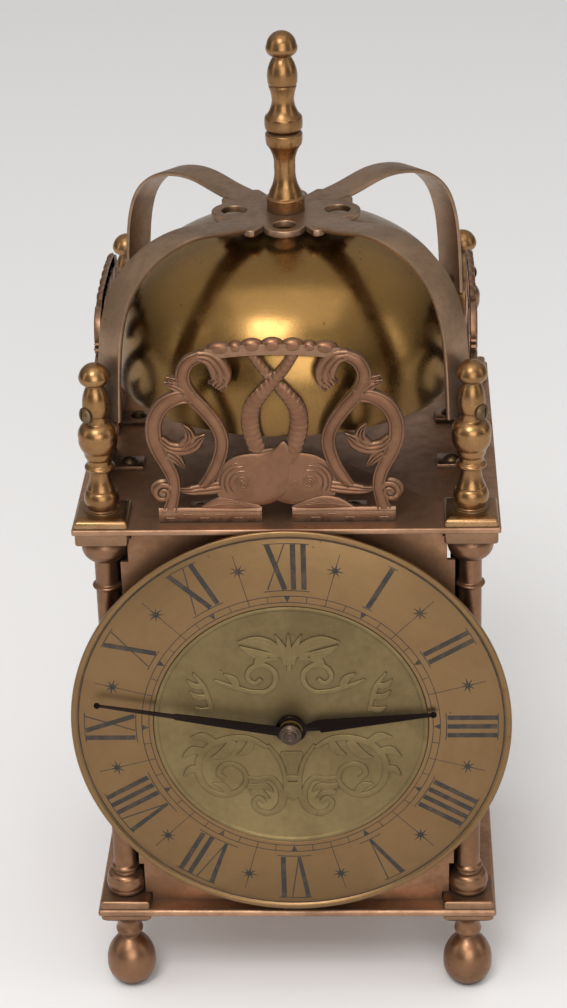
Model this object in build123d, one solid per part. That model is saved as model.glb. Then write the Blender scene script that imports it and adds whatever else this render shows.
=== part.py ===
from build123d import *
from math import atan2, cos, degrees, hypot, pi, radians, sin, sqrt
import os

os.makedirs("parts", exist_ok=True)

# All sizes are millimetres.  The clock stands on z = 0, faces -Y and is worked out about its own
# middle.  save() moves every piece back by ORIGIN_Y, so that the origin lies under the middle of
# the whole clock, hands included.

# ---- frame: four columns between two square plates ----
PLATE_W = 95.7
PLATE_D = 92.35
COLUMN_INSET_X = 6.6
COLUMN_INSET_Y = 6.575
BASE_Z = 22.9
BASE_T = 1.9
TOP_Z = 126.4
TOP_T = 1.4
BLOCK = 12.0
PAD_T = 2.1
FOOT_CAP_T = 2.2
COLUMN_CAP_T = 2.9
SHAFT_R = 2.75
RING_R = 3.2
BALL_R = 4.65
BALL_TOP = 34.4
CUP_R = 5.25
CUP_Z = 117.6
STUD_R = 1.3
STUD_GAP = 0.05
STUD_REACH = 4.5

# ---- case panels ----
PANEL_T = 1.0
PANEL_OUT = 1.7
COLUMN_GAP = 0.3

# ---- dial ----
DIAL_Z = 77.4
DIAL_R = 50.8
DIAL_STANDS = 5.2
DIAL_PLATE_T = 0.5
CHAPTER_T = 0.6
RIM_W = 1.6
RIM_T = 0.5
CENTRE_R = 31.7
CENTRE_RIM_W = 1.0
DIAL_FOOT_R = 1.8
DIAL_FOOT_PITCH = 52.0

# ---- hands, at rest at 2:46:36 ----
REST_MINUTES = 46.6
REST_HOURS = 2 + REST_MINUTES / 60
HAND_T = 0.6
HOUR_HAND_L = 33.6
MINUTE_HAND_L = 45.4
HOUR_HAND_ROOM = 1.6
HAND_PITCH = 1.4
NUT_R = 2.6
NUT_L = 1.8

# ---- bell and its frame ----
BELL_R = 40.8
BELL_ROOM = 20.2
BELL_H = 35.2
BELL_FULLNESS = 2.6
BELL_T = 1.5
CROWN_ROOM = 1.3
CROWN_T = 1.6
CROWN_R = 9.6
LOBE_X = 11.8
LOBE_R = 5.2
LOBE_HOLE_R = 2.9
TONGUE_Y = 9.8
TONGUE_R = 4.7
TONGUE_HOLE_R = 2.6
CUSPS = ((7.4, 12.0), (13.4, 7.4))
CUSP_R = 1.7
STRAP_W = 7.2
STRAP_T = 1.1
STRAP_INSIDE = 3.78149
STRAP_END_H = 23.5
STRAP_SCREW_H = 26.2
BOLT_R = 1.6

# ---- frets ----
FRET_T = 1.6
FRET_FRONT_X = -1.9
FRET_FRONT_INSET = 3.375
FRET_SIDE_INSET = 6.25
FRET_BASE_H = 3.7
LUG_W = 6.0
LUG_L = 7.4
LUG_T = 1.1
FRONT_LUG_U = 17.0
SIDE_LUG_U = 12.8
SCREW_R = 1.0
SCREW_HEAD_R = 1.9
SCREW_HEAD_T = 1.2

# ---- back panel and door ----
DOORWAY_W = 54.0
DOORWAY_Z0 = 38.0
DOORWAY_Z1 = 114.0
DOOR_LAP = 2.5
DOOR_GAP = 0.1
KNUCKLE_R = 1.6
HINGE_PIN_R = 0.8
HINGE_X = -31.2
HINGE_ZS = (54.0, 98.0)
HINGE_HALF = 6.0
KNUCKLE_HALF = 1.9
RUNNING_GAP = 0.05
PRESS_GAP = 0.01

# ---- movement ----
MV_BEHIND = 8.3
MV_PLATE_T = 1.5
MV_SPACE = 20.0
MV_HALF_W = 32.0
MV_Z0 = 28.5
MV_Z1 = 113.0
PILLAR_X = 27.0
PILLAR_Z0 = 33.5
PILLAR_Z1 = 107.5
PILLAR_R = 2.6
ARBOR_R = 0.9
PIVOT_R = 0.5
CENTRE_R_ARBOR = 1.2
PIPE_R = 1.9
HOUR_PIPE_R = 2.7
BARREL_R = 15.2
BARREL_WALL = 0.8
BARREL_ARBOR_R = 2.0
BARREL_PIVOT_R = 1.5
SPRING_HUB_R = 3.6
WIND_PIVOT_R = 1.9
RATCHET_TEETH = 22
RATCHET_R = 6.6
RATCHET_DEPTH = 1.0
CLICK_L = 6.5
CLICK_TURN = 150.0
CLICK_GAP = 0.15
CLICK_STUD_R = 0.9
KEY_SQUARE = 2.6

# teeth and modules of the meshing pairs, wheel first
GREAT = (60, 10, 0.55)
INTER = (60, 12, 0.45)
CENTRE = (64, 8, 0.40)
THIRD = (60, 8, 0.36)
FOURTH = (64, 8, 0.32)
MOTION = (36, 12, 0.50)
HOUR = (40, 10, 0.48)
ESCAPE_TEETH = 15
ESCAPE_R = 5.5
ESCAPE_ROOT_R = 4.3
LEVER_TO_ESCAPE = 7.4
LEVER_TO_BALANCE = 11.0
BALANCE_R = 9.0
TOOTH_SHARE = 0.36
ADDENDUM = 0.8
DEDENDUM = 1.15

# ---- worked out from the sizes above ----
COLUMN_X = PLATE_W / 2 - COLUMN_INSET_X
COLUMN_Y = PLATE_D / 2 - COLUMN_INSET_Y
BASE_TOP = BASE_Z + BASE_T
TOP_TOP = TOP_Z + TOP_T
PAD_TOP = TOP_TOP + PAD_T
BELL_RIM_Z = TOP_TOP + BELL_ROOM
CROWN_Z = BELL_RIM_Z + BELL_H + CROWN_ROOM
STRAP_END_Z = TOP_TOP + STRAP_END_H
STRAP_SCREW_Z = TOP_TOP + STRAP_SCREW_H
FRET_FRONT_Y = -(PLATE_D / 2 - FRET_FRONT_INSET)
FRET_SIDE_X = PLATE_W / 2 - FRET_SIDE_INSET
PANEL_FRONT = -(COLUMN_Y + PANEL_OUT)
PANEL_BACK = COLUMN_Y + PANEL_OUT
PANEL_SIDE = COLUMN_X + PANEL_OUT
DIAL_BACK = PANEL_FRONT - DIAL_STANDS
CHAPTER_FRONT = DIAL_BACK - DIAL_PLATE_T - CHAPTER_T
HOUR_HAND_Y = CHAPTER_FRONT - HOUR_HAND_ROOM
MINUTE_HAND_Y = HOUR_HAND_Y - HAND_PITCH
MV_FRONT = PANEL_FRONT + MV_BEHIND
NUT_FRONT = MINUTE_HAND_Y - NUT_L
ORIGIN_Y = (-NUT_FRONT - PLATE_D / 2) / 2
SPACE_0 = MV_FRONT + MV_PLATE_T
SPACE_1 = SPACE_0 + MV_SPACE
MV_BACK = SPACE_1 + MV_PLATE_T
RATCHET_Y = (MV_BACK + 0.4, MV_BACK + 1.5)
COLUMN_S = hypot(COLUMN_X, COLUMN_Y)
STRAP_END_S = COLUMN_S - STRAP_INSIDE
CORNERS = {
    "front_left": (-COLUMN_X, -COLUMN_Y),
    "front_right": (COLUMN_X, -COLUMN_Y),
    "back_left": (-COLUMN_X, COLUMN_Y),
    "back_right": (COLUMN_X, COLUMN_Y),
}


def polar(reach, direction):
    """Offset of a given length in a direction in degrees."""
    return reach * cos(radians(direction)), reach * sin(radians(direction))


def spaced(teeth_a, teeth_b, module, direction):
    """Offset from one wheel's axis to the other's, at their meshing distance."""
    return polar((teeth_a + teeth_b) * module / 2, direction)


def step(point, offset):
    return point[0] + offset[0], point[1] + offset[1]


C_AT = (0.0, DIAL_Z)
I_AT = step(C_AT, spaced(*INTER, -111.7))
B_AT = step(I_AT, spaced(*GREAT, -57.0))
T_AT = step(C_AT, spaced(*CENTRE, 48.2))
F_AT = step(T_AT, spaced(*THIRD, 141.7))
E_AT = step(F_AT, spaced(*FOURTH, 162.7))
M_AT = step(C_AT, spaced(*MOTION, -45.0))
ESCAPE_LINE = -125.0
L_AT = step(E_AT, polar(LEVER_TO_ESCAPE, ESCAPE_LINE))
CLICK_TIP = step(B_AT, polar(RATCHET_R + CLICK_GAP, CLICK_TURN))
CLICK_AT = step(CLICK_TIP, polar(CLICK_L, CLICK_TURN + 90))
W_AT = step(L_AT, polar(LEVER_TO_BALANCE, ESCAPE_LINE))


def save(name, *shapes):
    """Writes one named piece in the clock's frame, or several solids that share its name."""
    placed = [Pos(0, ORIGIN_Y, 0) * shape for shape in shapes]
    export_step(placed[0] if len(placed) == 1 else Compound(children=placed), f"parts/{name}.step")


# ---- helpers for turned, flat and round pieces ----
def dome_middle(r0, z0, z1):
    """Middle of the arc from r0, z0 up to the axis at z1 that is round about the axis."""
    radius = (r0 ** 2 + (z1 - z0) ** 2) / (2 * (z1 - z0))
    start = atan2(z0 - z1 + radius, r0)
    half = (start + (pi / 2 if radius > 0 else -pi / 2)) / 2
    return abs(radius) * cos(half), z1 - radius + abs(radius) * sin(half)


def half_outline(profile):
    """Closed half outline (radius, height).  A third value bows the run up to its point outwards."""
    edges = []
    for (r0, z0, *_), (r1, z1, *bow) in zip(profile, profile[1:]):
        if bow:
            length = hypot(r1 - r0, z1 - z0)
            mid = ((r0 + r1) / 2 + bow[0] * (z1 - z0) / length, (z0 + z1) / 2 - bow[0] * (r1 - r0) / length)
            if r1 == 0:
                mid = dome_middle(r0, z0, z1)
            edges.append(ThreePointArc((r0, z0), mid, (r1, z1)))
        else:
            edges.append(Line((r0, z0), (r1, z1)))
    first, last = profile[0], profile[-1]
    if hypot(first[0] - last[0], first[1] - last[1]) > 1e-6:
        edges.append(Line((last[0], last[1]), (first[0], first[1])))
    return make_face(edges)


def turned(profile, x=0.0, y=0.0):
    """Revolved about the vertical line through x, y."""
    return Pos(x, y, 0) * revolve(Plane.XZ * half_outline(profile), Axis.Z)


def turned_y(profile, x, z):
    """Revolved about the line along Y through x, z; the profile's heights are y values."""
    solid = revolve(Plane.XZ * half_outline(profile), Axis.Z)
    return Pos(x, 0, z) * Rot(-90, 0, 0) * solid


def rod_z(x, y, r, z0, z1):
    return Pos(x, y, z0) * Cylinder(r, z1 - z0, align=(Align.CENTER, Align.CENTER, Align.MIN))


def rod_y(x, z, r, y0, y1):
    upended = Rot(-90, 0, 0) * Cylinder(r, y1 - y0, align=(Align.CENTER, Align.CENTER, Align.MIN))
    return Pos(x, y0, z) * upended


def tube_y(x, z, bore, r, y0, y1):
    return rod_y(x, z, r, y0, y1) - rod_y(x, z, bore, y0 - 1, y1 + 1)


def box(x0, x1, y0, y1, z0, z1):
    return Pos((x0 + x1) / 2, (y0 + y1) / 2, (z0 + z1) / 2) * Box(x1 - x0, y1 - y0, z1 - z0)


def upright(sketch, x, z, y0, y1):
    """A flat piece drawn as seen from the front, between two depths."""
    plane = Plane(origin=(x, y1, z), x_dir=(1, 0, 0), z_dir=(0, -1, 0))
    return plane * extrude(sketch, y1 - y0)


def block(x, y, z0, z1):
    """Square end block of a column, foot or finial."""
    return box(x - BLOCK / 2, x + BLOCK / 2, y - BLOCK / 2, y + BLOCK / 2, z0, z1)


# ---- frame ----
def make_plate(z0, z1):
    plate = box(-PLATE_W / 2, PLATE_W / 2, -PLATE_D / 2, PLATE_D / 2, z0, z1)
    plate = fillet(plate.edges().filter_by(Axis.Z), 0.6)
    plate = chamfer(plate.faces().sort_by(Axis.Z)[-1].edges(), 0.35)
    for x, y in CORNERS.values():
        plate -= rod_z(x, y, STUD_R + STUD_GAP, z0 - 1, z1 + 1)
    return plate


def make_column(x, y):
    pad_top = BASE_TOP + PAD_T
    cap_z = TOP_Z - COLUMN_CAP_T
    body = turned([
        (0, pad_top - 0.5), (3.4, pad_top - 0.5), (3.4, pad_top), (BALL_R - 0.15, pad_top + 1.7, 0.45),
        (BALL_R - 0.2, pad_top + 4.3, 0.28), (3.0, BALL_TOP - 1.7, 0.45), (2.85, BALL_TOP - 1.0),
        (RING_R, BALL_TOP - 0.7, 0.1), (RING_R, BALL_TOP, 0.15), (SHAFT_R, BALL_TOP + 0.4),
        (SHAFT_R - 0.15, 110.2), (RING_R, 110.5, 0.1), (RING_R, 111.2, 0.15), (SHAFT_R - 0.15, 111.5),
        (SHAFT_R - 0.15, CUP_Z), (CUP_R, cap_z - 2.6, 0.7), (CUP_R, cap_z - 1.1, 0.1),
        (4.7, cap_z), (4.7, cap_z + 0.5), (0, cap_z + 0.5),
    ], x, y)
    body += block(x, y, BASE_TOP, pad_top)
    body += block(x, y, cap_z, TOP_Z)
    body -= rod_z(x, y, STUD_R + STUD_GAP, BASE_TOP - 1, BASE_TOP + STUD_REACH + 0.5)
    body -= rod_z(x, y, STUD_R + STUD_GAP, TOP_Z - STUD_REACH - 0.5, TOP_Z + 1)
    return body


def make_foot(x, y):
    cap_z = BASE_Z - FOOT_CAP_T
    body = turned([
        (0, 0), (2.6, 0), (5.9, 6.3, 1.1), (2.25, 13.4, 1.05), (2.25, 14.3), (3.15, 14.8, 0.15),
        (3.2, 15.9, 0.1), (2.9, 16.6), (5.0, cap_z, -0.7), (5.0, cap_z + 0.5), (0, cap_z + 0.5),
    ], x, y)
    cap = block(x, y, cap_z, BASE_Z)
    cap = chamfer(cap.faces().sort_by(Axis.Z)[0].edges(), 1.0)
    body += cap
    body += rod_z(x, y, STUD_R, BASE_Z - 0.5, BASE_TOP + STUD_REACH)
    return body


def diagonal_pos(x, y, s):
    """Point on the level diagonal from the middle through x, y, at distance s."""
    reach = hypot(x, y)
    return x * s / reach, y * s / reach


def make_finial(x, y):
    body = turned([
        (0, PAD_TOP - 0.5), (3.9, PAD_TOP - 0.5), (3.9, PAD_TOP + 0.4), (3.2, PAD_TOP + 0.8, -0.1),
        (3.95, 132.6, 0.15), (3.4, 134.9, 0.2), (3.15, 135.1), (3.3, 135.4), (2.3, 139.6, -0.25),
        (2.3, 139.9), (3.2, 140.3, 0.1), (3.2, 141.1, 0.2), (2.7, 141.5), (2.7, 142.6), (3.3, 143.9, 0.1),
        (3.4, 144.6), (4.35, 147.8, 0.35), (2.5, 151.6, 0.75), (2.45, 152.4), (2.7, 153.6, -0.1),
        (3.0, 156.3, 0.15), (1.9, 160.2, 0.25), (1.9, 160.6), (3.3, 163.1, 0.75), (0, 165.6, 1.0),
    ], x, y)
    pad = block(x, y, TOP_TOP, PAD_TOP)
    pad = fillet(pad.faces().sort_by(Axis.Z)[-1].edges(), 0.9)
    body += pad
    body += rod_z(x, y, STUD_R, TOP_Z - STUD_REACH, TOP_TOP + 0.5)
    hole = Rot(0, 90, 0) * Cylinder(SCREW_R + 0.02, 14)
    body -= Pos(x, y, STRAP_SCREW_Z) * Rot(0, 0, degrees(atan2(y, x))) * hole
    return body


# ---- centre finial, crown, bell ----
FINIAL_FOOT_Z = CROWN_Z + CROWN_T
FINIAL_JOIN_Z = 205.0


def make_centre_finial_base():
    z = FINIAL_FOOT_Z
    body = turned([
        (0, z), (4.3, z), (4.35, z + 2.9), (4.45, z + 3.1, 0.05), (4.1, z + 3.4), (3.85, z + 3.5),
        (3.6, z + 4.6), (2.45, 196.4, -0.45), (4.0, 201.8, -0.55), (4.2, 204.3, 0.1), (3.4, 204.9),
        (0, 204.9),
    ])
    body -= rod_z(0, 0, BOLT_R, z - 1, z + 9)
    body -= rod_z(0, 0, BOLT_R, 199, 206)
    return body


def make_centre_finial_top():
    body = turned([
        (0, 204.95), (3.4, 204.95), (4.2, 205.5), (4.2, 208.2, 0.12), (3.6, 208.8), (2.5, 212.2, -0.25),
        (3.2, 215.3, -0.1), (3.05, 215.6), (3.35, 216.4, 0.1), (2.1, 221.8, 0.5), (2.1, 222.2),
        (3.35, 224.8, 0.75), (0, 227.8, 1.2),
    ])
    body += rod_z(0, 0, BOLT_R - 0.05, 199.5, 205.2)
    return body


def make_crown():
    """Crown plate with four holed lobes, small cusps beside its arms, and the four arched arms."""
    outline = Circle(CROWN_R)
    for side in (-1, 1):
        outline += Pos(side * LOBE_X, 0) * Circle(LOBE_R)
        outline += Pos(0, side * TONGUE_Y) * Circle(TONGUE_R)
        for x, y in CUSPS:
            outline += Pos(side * x, y) * Circle(CUSP_R)
            outline += Pos(side * x, -y) * Circle(CUSP_R)
    for side in (-1, 1):
        outline -= Pos(side * LOBE_X, 0) * Circle(LOBE_HOLE_R)
        outline -= Pos(0, side * TONGUE_Y) * Circle(TONGUE_HOLE_R)
    outline -= Circle(BOLT_R + STUD_GAP)
    crown = Pos(0, 0, CROWN_Z) * extrude(outline, CROWN_T)
    mid = CROWN_Z + CROWN_T / 2
    end = STRAP_END_S
    run = Spline(
        (8.0, mid), (18.0, mid + 0.9), (end - 24.9, mid + 2.5), (end - 16.4, mid + 1.5),
        (end - 9.8, mid - 1.5), (end - 5.0, mid - 6.1), (end - 2.2, mid - 12.5), (end - 0.8, mid - 21.0),
        (end, STRAP_END_Z),
        tangents=((1, 0.05), (0.02, -1)),
    )
    strap = strap_solid(run)
    arms = None
    for x, y in CORNERS.values():
        arm = Rot(0, 0, degrees(atan2(y, x))) * strap
        hole = Pos(STRAP_END_S, 0, STRAP_SCREW_Z) * Rot(0, 90, 0) * Cylinder(SCREW_R, 6)
        arm -= Rot(0, 0, degrees(atan2(y, x))) * hole
        arms = arm if arms is None else arms + arm
    frame = crown + arms
    frame -= rod_z(0, 0, BOLT_R + STUD_GAP, CROWN_Z - 3, CROWN_Z + 6)
    return frame


def strap_solid(run):
    """A flat strip of even thickness along a line drawn in the plane of reach and height."""
    count = 15
    left, right = [], []
    for i in range(count):
        at = run @ (i / (count - 1))
        along = run % (i / (count - 1))
        left.append((at.X - along.Y * STRAP_T / 2, at.Y + along.X * STRAP_T / 2))
        right.append((at.X + along.Y * STRAP_T / 2, at.Y - along.X * STRAP_T / 2))
    edges = [Spline(*left), Line(left[-1], right[-1]), Spline(*right[::-1]), Line(right[0], left[0])]
    plane = Plane(origin=(0, STRAP_W / 2, 0), x_dir=(1, 0, 0), z_dir=(0, -1, 0))
    return plane * extrude(make_face(edges), STRAP_W)


def bell_edge(radius, height, z):
    """Full-shouldered line from the rim up to the middle of the dome."""
    count = 12
    points = []
    for i in range(count + 1):
        a = pi / 2 * i / count
        points.append((radius * cos(a) ** (2 / BELL_FULLNESS), z + height * sin(a) ** (2 / BELL_FULLNESS)))
    points[-1] = (0, z + height)
    return Spline(*points, tangents=((0, 1), (-1, 0)))


def make_bell():
    inner_r = BELL_R - BELL_T
    inner_h = BELL_H - BELL_T
    edges = [
        bell_edge(BELL_R, BELL_H, BELL_RIM_Z),
        bell_edge(inner_r, inner_h, BELL_RIM_Z),
        Line((inner_r, BELL_RIM_Z), (BELL_R, BELL_RIM_Z)),
        Line((0, BELL_RIM_Z + inner_h), (0, BELL_RIM_Z + BELL_H)),
    ]
    bell = revolve(Plane.XZ * make_face(edges), Axis.Z)
    return bell - rod_z(0, 0, BOLT_R + STUD_GAP, BELL_RIM_Z, CROWN_Z)


def make_bell_bolt():
    """Bolt up through bell and crown, with the washer that lies between the two."""
    under = BELL_RIM_Z + BELL_H - BELL_T
    head = Pos(0, 0, under - 3.6) * extrude(RegularPolygon(4.0, 6), 2.8)
    flange = rod_z(0, 0, 5.0, under - 0.9, under - 0.3)
    bolt = head + flange + rod_z(0, 0, BOLT_R - 0.02, under - 2, FINIAL_FOOT_Z + 8.5)
    washer = rod_z(0, 0, 5.0, BELL_RIM_Z + BELL_H + 0.1, CROWN_Z - 0.1)
    return bolt, washer - rod_z(0, 0, BOLT_R + STUD_GAP, BELL_RIM_Z, CROWN_Z + 1)


def make_round_screw(length):
    """Round-head screw along Z with its head up; the underside of the head is at z = 0."""
    head = turned([(0, 0), (SCREW_HEAD_R, 0), (SCREW_HEAD_R, 0.25), (0, SCREW_HEAD_T, 0.45)])
    head -= Pos(0, 0, SCREW_HEAD_T) * Box(5, 0.45, 0.8)
    return head + rod_z(0, 0, SCREW_R - 0.03, -length, 0.1)


def make_frame_screws():
    screws = []
    for x, y in CORNERS.values():
        at = diagonal_pos(x, y, COLUMN_S + 3.0)
        turn = Rot(0, 0, degrees(atan2(y, x))) * Rot(0, 90, 0)
        screws.append(Pos(at[0], at[1], STRAP_SCREW_Z) * turn * make_round_screw(8.0))
    for x, y in lug_points():
        screws.append(Pos(x, y, TOP_TOP + LUG_T) * make_round_screw(LUG_T + TOP_T + 0.8))
    return screws


# ---- frets: two crossed dolphins among scrolls, mirrored about u = 0 ----
# each ribbon: points (u, v) along its middle and a width at each; u is across, v above the plate
RIBBONS = {
    "stem": [
        (-13.6, 34.2, 1.2), (-12.0, 33.3, 3.2), (-10.8, 35.7, 3.6), (-12.4, 38.9, 3.1),
        (-15.9, 39.9, 2.9), (-18.8, 38.0, 3.0), (-19.6, 34.6, 3.1), (-17.6, 30.7, 3.2),
        (-14.2, 26.8, 3.2), (-11.7, 22.9, 3.0), (-11.2, 19.4, 2.9), (-12.7, 15.1, 2.8),
        (-14.7, 11.3, 2.7), (-16.7, 8.9, 2.0),
    ],
    "ring": [
        (-17.3, 29.9, 3.0), (-20.9, 30.2, 3.1), (-24.3, 28.4, 3.2), (-26.4, 25.0, 3.2),
        (-26.8, 21.3, 3.3), (-25.7, 17.6, 3.4), (-24.0, 14.5, 3.2), (-22.8, 11.5, 2.9),
        (-22.4, 8.4, 2.7), (-23.4, 4.8, 2.7),
    ],
    "leaf": [
        (-25.4, 20.6, 2.2), (-22.8, 18.3, 3.0), (-20.0, 17.7, 3.4), (-17.3, 19.0, 3.0),
        (-15.3, 21.6, 0.6),
    ],
    "leaf_tip": [
        (-20.2, 18.2, 3.0), (-18.4, 20.1, 2.8), (-18.5, 22.0, 1.9), (-19.9, 23.8, 0.4),
    ],
    "bud": [
        (-23.6, 17.2, 3.0), (-21.4, 15.4, 2.6), (-19.7, 13.2, 0.5),
    ],
    "spur": [
        (-18.6, 31.4, 3.0), (-21.2, 33.2, 2.7), (-23.9, 34.3, 0.6),
    ],
    "tail": [
        (-3.0, 14.6, 3.8), (-4.5, 18.4, 4.0), (-5.4, 22.4, 4.1), (-5.1, 26.6, 3.9), (-3.3, 30.6, 3.4),
        (-0.4, 33.9, 3.0), (2.4, 36.9, 2.8), (4.2, 40.9, 2.6),
    ],
    "fin": [
        (-12.6, 7.6, 2.2), (-16.0, 7.7, 2.8), (-19.0, 8.0, 2.1), (-21.9, 8.3, 1.0),
    ],
}
VOLUTE = (-25.2, 7.2, 3.2)
BEADS = [(-11.6, 2.3, 1.5), (-7.9, 1.3, 1.4), (-4.2, 2.3, 1.6), (0.0, 2.1, 1.7), (4.2, 2.3, 1.6),
         (7.9, 1.3, 1.4), (11.6, 2.3, 1.5)]
HEAD = (-5.2, 10.2, 8.4, 6.2)
BASE_IN = 3.4
BASE_OUT = 26.4
TOP_BAR_V = 41.0
TOP_BAR_RISE = 1.0


def ribbon(points):
    """Flat ribbon of changing width about a smooth line through points (u, v, width)."""
    line = Spline(*[(u, v) for u, v, _ in points])
    left, right = [], []
    for u, v, width in points:
        along = tangent_at(line, u, v)
        left.append((u - along[1] * width / 2, v + along[0] * width / 2))
        right.append((u + along[1] * width / 2, v - along[0] * width / 2))
    edges = [Spline(*left), Line(left[-1], right[-1]), Spline(*right[::-1]), Line(right[0], left[0])]
    return make_face(edges)


def tangent_at(line, u, v):
    """Unit direction of a line at the point nearest u, v."""
    best = min((hypot((line @ (i / 400)).X - u, (line @ (i / 400)).Y - v), i) for i in range(401))[1]
    along = line % (best / 400)
    return along.X, along.Y


def bar_top(u):
    """Height of the top bar's middle at u: a shallow arch."""
    return TOP_BAR_V + TOP_BAR_RISE * (1 - (u / 14.0) ** 2)


def fret_sketch():
    half = None
    for points in RIBBONS.values():
        face = ribbon(points)
        half = face if half is None else half + face
    u, v, r = VOLUTE
    half += Pos(u, v) * Circle(r)
    u, v, long_r, short_r = HEAD
    half += Pos(u, v) * Rot(0, 0, 16) * Ellipse(long_r, short_r)
    half += make_face(Polyline([(-17.4, 3.4), (-13.4, 6.2), (-9.0, 6.4), (-3.6, 3.4), (-17.4, 3.4)]))
    half += Pos(-24.5, 4.6) * Rectangle(4.2, 3.0)
    half += Pos(-(BASE_IN + BASE_OUT) / 2, FRET_BASE_H / 2) * Rectangle(BASE_OUT - BASE_IN, FRET_BASE_H)
    sketch = half + mirror(half, Plane.YZ)
    arch = [(u, bar_top(u)) for u in (-13.4, -6.7, 0.0, 6.7, 13.4)]
    lower = [(u, v - 1.5) for u, v in arch]
    upper = [(u, v + 1.3) for u, v in arch]
    ends = [Line(lower[-1], upper[-1]), Line(upper[0], lower[0])]
    bar = make_face([Spline(*lower), ends[0], Spline(*upper[::-1]), ends[1]])
    sketch += bar
    for u, half_length, height in BEADS:
        sketch += Pos(u, bar_top(u) + 0.8) * Ellipse(half_length, height)
    return sketch


def lug_points():
    """Screw places of the six fret lugs on the top plate."""
    back = FRET_FRONT_Y + FRET_T + LUG_L * 0.55
    side = FRET_SIDE_X - LUG_L * 0.55
    points = [(FRET_FRONT_X + s * FRONT_LUG_U, back) for s in (-1, 1)]
    points += [(sx * side, sy * SIDE_LUG_U) for sx in (-1, 1) for sy in (-1, 1)]
    return points


def make_fret(sketch, lug_u):
    """Fret standing in the plane y = 0 to FRET_T, with two holed lugs bent back at its foot."""
    fret = upright(sketch, 0, TOP_TOP, 0, FRET_T)
    for side in (-1, 1):
        u = side * lug_u
        lug = box(u - LUG_W / 2, u + LUG_W / 2, FRET_T - 0.4, FRET_T + LUG_L, TOP_TOP, TOP_TOP + LUG_T)
        lug -= rod_z(u, FRET_T + LUG_L * 0.55, SCREW_R, TOP_TOP - 1, TOP_TOP + 4)
        fret += lug
    return fret


# ---- case ----
def column_clearance(x, y):
    """Room round one column's ball, shaft, cup and end blocks."""
    room = rod_z(x, y, RING_R + COLUMN_GAP, BASE_TOP - 1, TOP_Z + 1)
    room += rod_z(x, y, BALL_R + COLUMN_GAP, BASE_TOP - 1, BALL_TOP + 0.8)
    room += rod_z(x, y, CUP_R + COLUMN_GAP, CUP_Z - 0.2, TOP_Z + 1)
    half = BLOCK / 2 + COLUMN_GAP
    room += box(x - half, x + half, y - half, y + half, BASE_TOP - 1, BASE_TOP + PAD_T + 0.1)
    room += box(x - half, x + half, y - half, y + half, TOP_Z - COLUMN_CAP_T - 0.1, TOP_Z + 1)
    return room


def cleared(panel):
    for x, y in CORNERS.values():
        panel -= column_clearance(x, y)
    return panel


def dial_foot_points():
    half = DIAL_FOOT_PITCH / 2
    return [(sx * half, DIAL_Z + sz * half) for sx in (-1, 1) for sz in (-1, 1)]


def pillar_points():
    return [(sx * PILLAR_X, z) for sx in (-1, 1) for z in (PILLAR_Z0, PILLAR_Z1)]


def make_front_panel():
    half = COLUMN_X - RING_R - COLUMN_GAP
    panel = cleared(box(-half, half, PANEL_FRONT, PANEL_FRONT + PANEL_T, BASE_TOP, TOP_Z))
    panel -= rod_y(0, DIAL_Z, HOUR_PIPE_R + 1.3, PANEL_FRONT - 1, PANEL_FRONT + 3)
    for x, z in dial_foot_points():
        panel -= rod_y(x, z, SCREW_R, PANEL_FRONT - 1, PANEL_FRONT + 3)
    for x, z in pillar_points():
        panel -= rod_y(x, z, SCREW_R, PANEL_FRONT - 1, PANEL_FRONT + 3)
    return panel


def make_side_panel(side):
    half = COLUMN_Y - RING_R - COLUMN_GAP
    outer, inner = side * PANEL_SIDE, side * (PANEL_SIDE - PANEL_T)
    return cleared(box(min(outer, inner), max(outer, inner), -half, half, BASE_TOP, TOP_Z))


def hinge_y():
    return PANEL_BACK + KNUCKLE_R + RUNNING_GAP


def make_back_panel():
    half = COLUMN_X - RING_R - COLUMN_GAP
    panel = cleared(box(-half, half, PANEL_BACK - PANEL_T, PANEL_BACK, BASE_TOP, TOP_Z))
    panel -= box(-DOORWAY_W / 2, DOORWAY_W / 2, PANEL_BACK - 5, PANEL_BACK + 5, DOORWAY_Z0, DOORWAY_Z1)
    for middle in HINGE_ZS:
        for z0 in (middle - HINGE_HALF, middle + KNUCKLE_HALF + 0.2):
            z1 = z0 + HINGE_HALF - KNUCKLE_HALF - 0.2
            panel += rod_z(HINGE_X, hinge_y(), KNUCKLE_R, z0, z1)
            panel += box(HINGE_X - 4.0, HINGE_X, PANEL_BACK - 0.2, PANEL_BACK + 0.9, z0, z1)
        panel -= rod_z(HINGE_X, hinge_y(), HINGE_PIN_R, middle - 9, middle + 9)
    return panel


def make_back_door():
    y0 = PANEL_BACK + DOOR_GAP
    y1 = y0 + PANEL_T
    left = HINGE_X + KNUCKLE_R + 0.4
    right = DOORWAY_W / 2 + DOOR_LAP
    door = box(left, right, y0, y1, DOORWAY_Z0 - DOOR_LAP, DOORWAY_Z1 + DOOR_LAP)
    for middle in HINGE_ZS:
        z0, z1 = middle - KNUCKLE_HALF, middle + KNUCKLE_HALF
        door += box(HINGE_X, left + 0.5, y0, y1, z0, z1)
        door += rod_z(HINGE_X, hinge_y(), KNUCKLE_R - RUNNING_GAP, z0, z1)
        door -= rod_z(HINGE_X, hinge_y(), HINGE_PIN_R + RUNNING_GAP, z0 - 1, z1 + 1)
    door -= rod_y(DOORWAY_W / 2 - 3, DIAL_Z, SCREW_R, y0 - 1, y1 + 1)
    return door


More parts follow.
